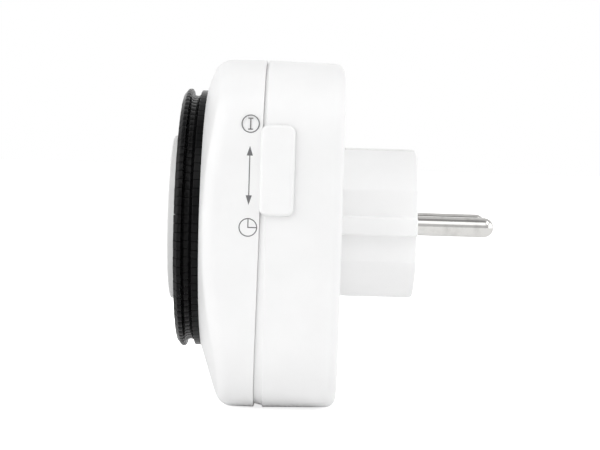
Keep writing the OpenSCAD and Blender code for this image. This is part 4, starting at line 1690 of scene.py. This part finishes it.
@dataclass(frozen=True)
class Dial:
    """Numbered dial face and its ring of ninety-six push segments.

    Attributes:
        banks: Number of banks that the segments come in.
        bank_segments: Number of segments in a bank.
        segment_gap: Gap between two segments at the ring's edge.
        core_face_r: Radius of the dial face.
        drum_r: Radius of the drum behind the segments' bridges.
        drum_t: Thickness of the drum.
        drum_depth: Place of the drum's front behind the dial's front.
        foot_depth: Reach of the segments' feet behind the drum's front.
        foot_gap: Gap between the feet and the web.
        web_t: Thickness of the web.
        foot_in_r: Inner radius of the segments' feet.
        foot_out_r: Outer radius of those feet.
        bridge_t: Thickness of the segments' bridges.
        skirt_r: Inner radius of the segments' skirts.
        lip_w: Width of the lip ahead of the finger groove.
        groove_w: Width of the finger groove.
        groove_depth: Depth of that groove.
        rim_r: Radius behind the groove.
        side_round: Rounding of a segment's side edges.
        looseness: How far a segment may sit back, as if it had been used.
        numeral_r: Distance of the hours from the axis.
        numeral_h: Height of the hours.
        tick_r: Outer ends of the ticks.
        tick: Lengths of an hour's and of another tick, and half a tick's width.
        ink_t: Thickness of the ink.
    """

    frame: Frame
    fits: Fits
    banks: int = 12
    bank_segments: int = 8
    segment_gap: float = 0.14
    core_face_r: float = 25.7
    drum_r: float = 28.8
    drum_t: float = 1.2
    drum_depth: float = 2.8
    foot_depth: float = 0.8
    foot_gap: float = 2.2
    web_t: float = 1.0
    foot_in_r: float = 26.0
    foot_out_r: float = 27.3
    bridge_t: float = 0.6
    skirt_r: float = 29.1
    lip_w: float = 1.9
    groove_w: float = 2.35
    groove_depth: float = 1.7
    rim_r: float = 31.65
    side_round: float = 0.05
    looseness: float = 0.05
    numeral_r: float = 22.9
    numeral_h: float = 2.5
    tick_r: float = 25.2
    tick: tuple[float, float, float] = (0.9, 0.45, 0.08)
    ink_t: float = 0.02

    @property
    def segments(self) -> int:
        """Number of segments around the dial."""
        return self.banks * self.bank_segments

    @property
    def y_drum(self) -> float:
        """Front of the drum behind the segments' bridges."""
        return self.frame.y_rim_front + self.drum_depth

    @property
    def y_foot(self) -> float:
        """Back of the segments' feet."""
        return self.y_drum + self.foot_depth

    @property
    def y_web(self) -> float:
        """Front of the dial's web."""
        return self.y_foot + self.foot_gap

    def core(self) -> bpy.types.Object:
        """Builds the dial face, its drum and its hub.

        Returns:
            The core.
        """
        fits, frame = self.fits, self.frame
        y0, y1, y2 = frame.y_rim_front, self.y_drum, self.y_web
        y3, y4 = y2 + self.web_t, frame.y_gear_back
        face, inner = self.core_face_r, self.drum_r - self.drum_t
        core = turned("dial_face_and_drum", rounded_profile([
            (fits.hub_bore_r, y0, 0.3), (face, y0, 0.3), (face, y2, 0), (inner, y2, 0),
            (inner, y1, 0.2), (self.drum_r, y1, 0.2), (self.drum_r, y3, 0),
            (fits.hub_r, y3, 0), (fits.hub_r, y4, 0), (fits.hub_bore_r, y4, 0)]), 192)
        return dress(core, DIAL, "dial", ["dial_core"])

    def segment_section(self) -> list[tuple[float, float]]:
        """Radius and Y around a segment: its lip, finger groove, rim, skirt and foot.

        Returns:
            The points around the section.
        """
        y0, r = self.frame.y_rim_front, self.fits.dial_r
        y1, y_back, y_bridge = y0 + self.lip_w, self.frame.y_rim_back, y0 + self.bridge_t
        y2 = y1 + self.groove_w
        groove_r = self.groove_w / 2
        middle = r - self.groove_depth + groove_r
        steps = 14
        groove = [(middle - groove_r * math.sin(a), y1 + groove_r * (1 - math.cos(a)), 0)
                  for a in (math.pi * i / steps for i in range(1, steps))]
        return rounded_profile([
            (self.foot_in_r, y0, 0.15), (r - 1.25, y0, 0.6), (r, y0 + 1.0, 0.55), (r, y1, 0.3),
            (middle, y1, 0), *groove, (middle, y2, 0), (self.rim_r, y2, 0.25),
            (self.rim_r, y_back, 0.1), (self.skirt_r, y_back, 0.1),
            (self.skirt_r, y_bridge, 0), (self.foot_out_r, y_bridge, 0),
            (self.foot_out_r, self.y_foot, 0.1), (self.foot_in_r, self.y_foot, 0.1)])

    def bank(self, number: int) -> bpy.types.Object:
        """Builds one bank of segments.

        Args:
            number: Number of the bank, from 1.

        Returns:
            The bank.
        """
        section = self.segment_section()
        pitch = math.tau / self.segments
        span = pitch - self.segment_gap / self.fits.dial_r
        skin = Skin()
        for i in range(self.bank_segments):
            index = (number - 1) * self.bank_segments + i
            # uneven from segment to segment, and the same in each run
            wave = math.sin(index * 12.9898) * math.cos(index * 4.1414)
            shift = self.looseness * (0.5 + 0.5 * wave)
            start = -index * pitch
            turns = [start, start - span / 2, start - span]
            sides = [[Vector((r * math.cos(a), y + shift * (y < self.y_foot), r * math.sin(a)))
                      for r, y in section] for a in turns]
            skin.loft(sides, capped=True)
        bank = soften(skin.build(f"segments_{number:02d}"), self.side_round, 2, 60)
        return dress(bank, DIAL, f"bank_{number:02d}",
                     [f"segment_bank_{number:02d}"], 38)

    def numerals(self) -> bpy.types.Object:
        """Prints the hours from 1 to 24, with a tick for each segment.

        Returns:
            The print.
        """
        y0, outer = self.frame.y_rim_front, self.tick_r
        hours = 24
        prints = []
        for hour in range(1, hours + 1):
            around = math.pi / 2 + math.tau * hour / hours
            away, across = radial(around), -radial(around + math.pi / 2)
            turn = Matrix((across, away, FORWARD)).transposed().to_4x4()
            place = Matrix.Translation(polar(away, self.numeral_r, y0) * MM)
            prints.append(written(str(hour), self.numeral_h, self.ink_t, place @ turn))
        skin = Skin()
        long, short, half = self.tick
        every = self.segments // hours
        for i in range(self.segments):
            around = math.pi / 2 + math.tau * (i + 0.5) / self.segments
            away, across = radial(around), -radial(around + math.pi / 2) * half
            inner = outer - (long if i % every == every - 1 else short)
            ends = [[polar(away, r, y) + across * side
                     for r, side in ((inner, -1), (outer, -1), (outer, 1), (inner, 1))]
                    for y in (y0 - self.ink_t, y0 + SINK)]
            skin.loft(ends, capped=True)
        prints.append(skin.build("ticks"))
        return dress(gathered("hour_numerals", prints), NUMERAL_INK, "dial")


# ---- Slide switch ----


@dataclass(frozen=True)
class SlideSwitch:
    """Cap of the slide switch.

    Attributes:
        gap: Gap between the cap and the housing.
        corner: Radius of the cap's upper corners, seen from the side.
        low_corner: Radius of its lower corners.
        edge: Rounding around the cap's outer edge.
        belly: How far the lower edge bulges.
        crown: Height of the cap's crowned face.
        stem_half_w: Half the width of the stem.
        stem_half_h: Half the height of the stem.
        stem_shift: Place of the stem's middle behind the cap's middle.
    """

    frame: Frame
    gap: float = 0.02
    corner: float = 1.8
    low_corner: float = 1.5
    edge: float = 0.8
    belly: float = 0.35
    crown: float = 0.12
    stem_half_w: float = 1.4
    stem_half_h: float = 5.0
    stem_shift: float = -0.1

    def cap(self) -> bpy.types.Object:
        """Builds the cap with its stem.

        Returns:
            The cap.
        """
        low, high = corners("switch_cap")
        x0 = self.frame.half_w + self.gap
        mid_y, mid_z = (low.y + high.y) / 2, (low.z + high.z) / 2
        bottom = [(low.y + (high.y - low.y) * t, low.z + self.belly * (2 * t - 1) ** 2, 0)
                  for t in (i / 10 for i in range(2, 9))]
        z_foot = low.z + self.belly
        stations = outline_stations(rounded_profile([
            (low.y, z_foot, self.low_corner), *bottom, (high.y, z_foot, self.low_corner),
            (high.y, high.z, self.corner), (low.y, high.z, self.corner)], 10))
        x_face = high.x - self.crown
        steps = 8

        def ring(inset: float, x: float) -> Ring:
            """Ring of the cap at a distance from the housing."""
            return [Vector((x, s.at(inset).x, s.at(inset).y)) for s in stations]

        rings = [ring(0, x0), ring(0, x_face - self.edge)]
        for i in range(1, steps + 1):
            a = math.pi / 2 * i / steps
            rings.append(ring(self.edge * (1 - math.cos(a)),
                              x_face - self.edge * (1 - math.sin(a))))
        centre = Vector((0, mid_y, mid_z))
        last = rings[-1]
        for t in (0.2, 0.45, 0.7, 0.9):
            x = x_face + self.crown * (1 - (1 - t) ** 2)
            rings.append([Vector((x, *p.lerp(centre, t)[1:])) for p in last])
        cap = Skin().loft(rings, capped=True).build("switch_cap_cover")
        y_stem = mid_y + self.stem_shift
        half_w, half_h = self.stem_half_w, self.stem_half_h
        stem = box_solid((low.x, y_stem - half_w, mid_z - half_h),
                         (x0 + 0.3, y_stem + half_w, mid_z + half_h))
        combine(cap, [stem], Cut.FUSE)
        return dress(cap, CAP, "slider", ["switch_cap"])


@dataclass(frozen=True)
class Marks:
    """Marks printed on the front cover: the switch symbols and the time pointer.

    Attributes:
        housing: The housing that they are printed on.
        ink_t: Thickness of the ink.
        line: Width of the printed lines.
        switch_y: Place of the switch symbols along Y.
        on_z: Height of the circled I.
        on_r: Radius of its circle.
        letter: Half the width and half the height of the I.
        arrow_z: Heights of the arrow's two tips.
        arrow_head: Length and half the width of its heads.
        clock_z: Height of the clock.
        clock_r: Radius of its circle.
        pointer: X and Z of the time pointer's corners.
    """

    housing: Housing
    ink_t: float = 0.015
    line: float = 0.24
    switch_y: float = -39.95
    on_z: float = 23.4
    on_r: float = 1.95
    letter: tuple[float, float] = (0.55, 1.35)
    arrow_z: tuple[float, float] = (18.4, 5.0)
    arrow_head: tuple[float, float] = (2.2, 0.7)
    clock_z: float = -0.1
    clock_r: float = 2.0
    pointer: Pairs = ((0, 33), (-0.9, 35), (0.9, 35))

    def _print(self, outline: Pairs, hole: Pairs = ()) -> Skin:
        """Skin of one printed shape on the cover's side.

        Args:
            outline: Y and Z of its points.
            hole: Y and Z of as many points around a hole in it.

        Returns:
            The skin.
        """
        def ring(points: Pairs, lift: float) -> Ring:
            """Points of an outline, lifted off the cover."""
            return [Vector((self.housing.side_x(y) + lift, y, z)) for y, z in points]

        rings = [ring(outline, -SINK), ring(outline, self.ink_t)]
        if hole:
            rings += [ring(hole, self.ink_t), ring(hole, -SINK)]
        return Skin().loft(rings, looped=bool(hole), capped=not hole)

    def _hoop(self, y: float, z: float, radius: float) -> Skin:
        """Circle of a symbol, drawn along a radius."""
        half = self.line / 2
        return self._print(*([(y + r * math.cos(a), z + r * math.sin(a))
                              for a in even_angles(64)] for r in (radius + half, radius - half)))

    def switch_marks(self) -> bpy.types.Object:
        """Prints the circled I, the double arrow and the clock beside the switch.

        Returns:
            The print.
        """
        y, half = self.switch_y, self.line / 2
        serif, tall = self.letter
        stroke = [(half, tall - self.line), (serif, tall - self.line), (serif, tall)]
        stroke += [(-a, b) for a, b in reversed(stroke)]
        stroke += [(-a, -b) for a, b in stroke]
        letter = [(y + a, self.on_z + b) for a, b in stroke]
        (top, low), (head, wing) = self.arrow_z, self.arrow_head
        neck, foot = top - head, low + head
        arrow = [(y, top), (y - wing, neck), (y - half, neck), (y - half, foot),
                 (y - wing, foot), (y, low), (y + wing, foot), (y + half, foot),
                 (y + half, neck), (y + wing, neck)]
        reach = self.clock_r - half
        hands = [(y + a, self.clock_z + b) for a, b in (
            (-half, -half), (reach, -half), (reach, half), (half, half), (half, reach),
            (-half, reach))]
        shapes = [self._hoop(y, self.on_z, self.on_r), self._print(letter), self._print(arrow),
                  self._hoop(y, self.clock_z, self.clock_r), self._print(hands)]
        prints = [skin.build("mark") for skin in shapes]
        return dress(gathered("switch_marks", prints), MARK_INK, "housing")

    def time_pointer(self) -> bpy.types.Object:
        """Prints the triangle above the dial that the hours are read against.

        Returns:
            The print.
        """
        rings = [[Vector((x, self.housing.face_y(math.hypot(x, z)) + lift, z))
                  for x, z in self.pointer] for lift in (3 * SINK, -self.ink_t)]
        pointer = Skin().loft(rings, capped=True).build("time_pointer")
        return dress(pointer, MARK_INK, "housing")


# ---- Inner parts ----


@dataclass(frozen=True)
class InnerParts:
    """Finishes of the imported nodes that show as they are."""

    nodes: dict[str, bpy.types.Object]
    finishes: tuple[tuple[Finish, tuple[str, ...]], ...] = (
        (EARTH, ("earth_contact_top", "earth_contact_bottom")),
        (ZINC, ("shutter_spring", "drive_arbor", "clutch_washer", "gear_plate", "motor_case",
                "lever_pin", "switch_detent", "housing_screws", "insert_screws", "plate_screws")),
        (BRASS, ("line_sleeve", "neutral_sleeve", "line_in_busbar", "line_out_busbar",
                 "neutral_busbar", "motor_pinion", "contact_leaf")),
        (SILVER, ("moving_contact", "fixed_contact")),
        (COPPER, ("motor_coil",)),
        (GEAR, ("dial_gear", "drive_pinion", "clutch_wheel", "motor_gearbox", "feeler_lever",
                "switch_bar")),
        (INSERT, ("shutter",)),
        (DIAL, ("motor_rotor",)),
    )

    def dress(self) -> None:
        """Gives each node its finish."""
        for finish, names in self.finishes:
            for name in names:
                node = self.nodes[name]
                if not node.material_slots:
                    node.data.materials.append(finish.material())
                for place in node.material_slots:
                    place.material = finish.material()
                log.info("%s keeps its packed shape, %s", name, finish.name)


# ---- Studio ----


@dataclass(frozen=True)
class Studio:
    """Camera, floor and surroundings.

    Attributes:
        lens_px: Focal length in pixels.
        frame_px: Width of the picture in pixels.
        sensor: Width of the sensor.
        eye: Place of the camera.
        target: Point that it looks at.
        roll: Its roll, in degrees.
        floor_side: Half the side of the floor.
        floor_white: Colour of the floor.
        floor_glow: Light that the floor gives off for the camera alone.
        ambient: Brightness of the surroundings.
        mirrored: X of the directions between which reflections stop showing the white backdrop.
        panels: Softboxes and dim stretches: lowest and highest angle above the horizon on +X,
            lowest and highest angle towards the plug, softness of the edges in degrees, and
            brightness.
    """

    lens_px: float = 1602.0
    frame_px: float = 600.0
    sensor: float = 36.0
    eye: tuple[float, float, float] = (399.4, -28.13, 20.4)
    target: tuple[float, float, float] = (0.0, -28.13, -1.17)
    roll: float = 1.7
    floor_side: float = 3000.0
    floor_white: float = 0.97
    floor_glow: float = 0.78
    ambient: float = 0.65
    mirrored: tuple[float, float] = (-0.9, -0.75)
    panels: tuple[tuple[float, float, float, float, float, float], ...] = (
        (-200, 200, -100, -52, 10, 1.2),
        (-200, 200, 52, 100, 10, 1.7),
        (-30, 30, 5, 45, 8, 0.53),
        (32, 66, -60, 18, 6, 1.45),
        (100, 178, -50, 50, 8, 0.65),
        (-30, 66, -66, -30, 6, 2.15),
        (50, 96, 28, 40, 3, 3.5),
        (66, 98, -6, 16, 3, 0.3),
    )

    def camera(self) -> None:
        """Places the camera."""
        data = bpy.data.cameras.new("camera")
        data.sensor_width = self.sensor
        data.lens = self.lens_px / self.frame_px * self.sensor
        data.clip_start = 0.01
        data.clip_end = 20
        camera = linked("camera", data)
        eye, target = Vector(self.eye) * MM, Vector(self.target) * MM
        aim = (target - eye).to_track_quat("-Z", "Y").to_matrix().to_4x4()
        spin = Matrix.Rotation(math.radians(self.roll), 4, "Z")
        camera.matrix_world = Matrix.Translation(eye) @ aim @ spin
        bpy.context.scene.camera = camera

    def floor(self, height: float) -> None:
        """Lays the pale floor.

        Args:
            height: Its height.
        """
        side, white = self.floor_side, self.floor_white
        skin = Skin()
        skin.faces.append(tuple(skin.add(
            Vector((x * side, y * side, height)) for x, y in ((-1, -1), (1, -1), (1, 1), (-1, 1)))))
        floor = skin.build("studio_floor")
        material, graph = new_material("studio_floor_white")
        paint = graph.node("ShaderNodeBsdfDiffuse", None, {"Color": (white, white, white, 1)})
        glow = graph.node("ShaderNodeEmission", None,
                          {"Color": (1, 1, 1, 1), "Strength": self.floor_glow})
        both = graph.node("ShaderNodeAddShader", None, {0: paint, 1: glow})
        seen = graph.node("ShaderNodeLightPath", output="Is Camera Ray")
        mixed = graph.node("ShaderNodeMixShader", None, {0: seen, 1: paint, 2: both})
        graph.node("ShaderNodeOutputMaterial", None, {"Surface": mixed})
        floor.data.materials.append(material)

    def world(self) -> None:
        """Sets the white surroundings, with softboxes and dim stretches between them."""
        world = bpy.data.worlds.new("studio_world")
        bpy.context.scene.world = world
        world.use_nodes = True
        graph = Graph(world.node_tree)
        place = graph.node("ShaderNodeTexCoord", output="Generated")
        x, y, z = (graph.node("ShaderNodeSeparateXYZ", None, {0: place}, output=axis)
                   for axis in "XYZ")
        over = z.math("ARCTAN2", z, x) * math.degrees(1)
        aside = y.math("ARCSINE", y) * math.degrees(1)

        def within(value: Wire, low: float, high: float, soft: float) -> Wire:
            """1 between two angles, with soft edges."""
            return value.step(low - soft, low + soft) * (1 - value.step(high - soft, high + soft))

        light: Wire | float = self.ambient
        for low, high, left, right, soft, level in self.panels:
            mask = within(over, low, high, soft) * within(aside, left, right, soft)
            light = light + mask * (level - light)
        camera = graph.node("ShaderNodeLightPath", output="Is Camera Ray")
        glossy = graph.node("ShaderNodeLightPath", output="Is Glossy Ray")
        white = camera + glossy * (1 - x.step(*self.mirrored))
        glow = graph.node("ShaderNodeBackground", None,
                          {"Color": (1, 1, 1, 1), "Strength": light + white * (1 - light)})
        graph.node("ShaderNodeOutputWorld", None, {"Surface": glow})


def main() -> None:
    """Builds the timer switch piece by piece."""
    logging.basicConfig(level=logging.INFO, format="%(message)s")
    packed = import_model()
    frame, fits = Frame.measure(), Fits()
    outline = Outline(frame, fits)
    housing = Housing(frame, fits, outline)
    housing.front_cover()
    housing.rear_housing()
    plug = Plug(frame, fits)
    plug.body()
    plug.pin("line_pin_plated", 1, "line_pin")
    plug.pin("neutral_pin_plated", -1, "neutral_pin")
    SocketInsert(frame, fits).build()
    dial = Dial(frame, fits)
    dial.core()
    for number in range(1, dial.banks + 1):
        dial.bank(number)
    dial.numerals()
    marks = Marks(housing)
    marks.switch_marks()
    marks.time_pointer()
    SlideSwitch(frame).cap()
    InnerParts(packed["nodes"]).dress()
    studio = Studio()
    studio.camera()
    studio.floor(frame.bottom - FLOOR_GAP)
    studio.world()
    bpy.context.scene.view_settings.view_transform = "Standard"


if __name__ == "__main__":
    main()
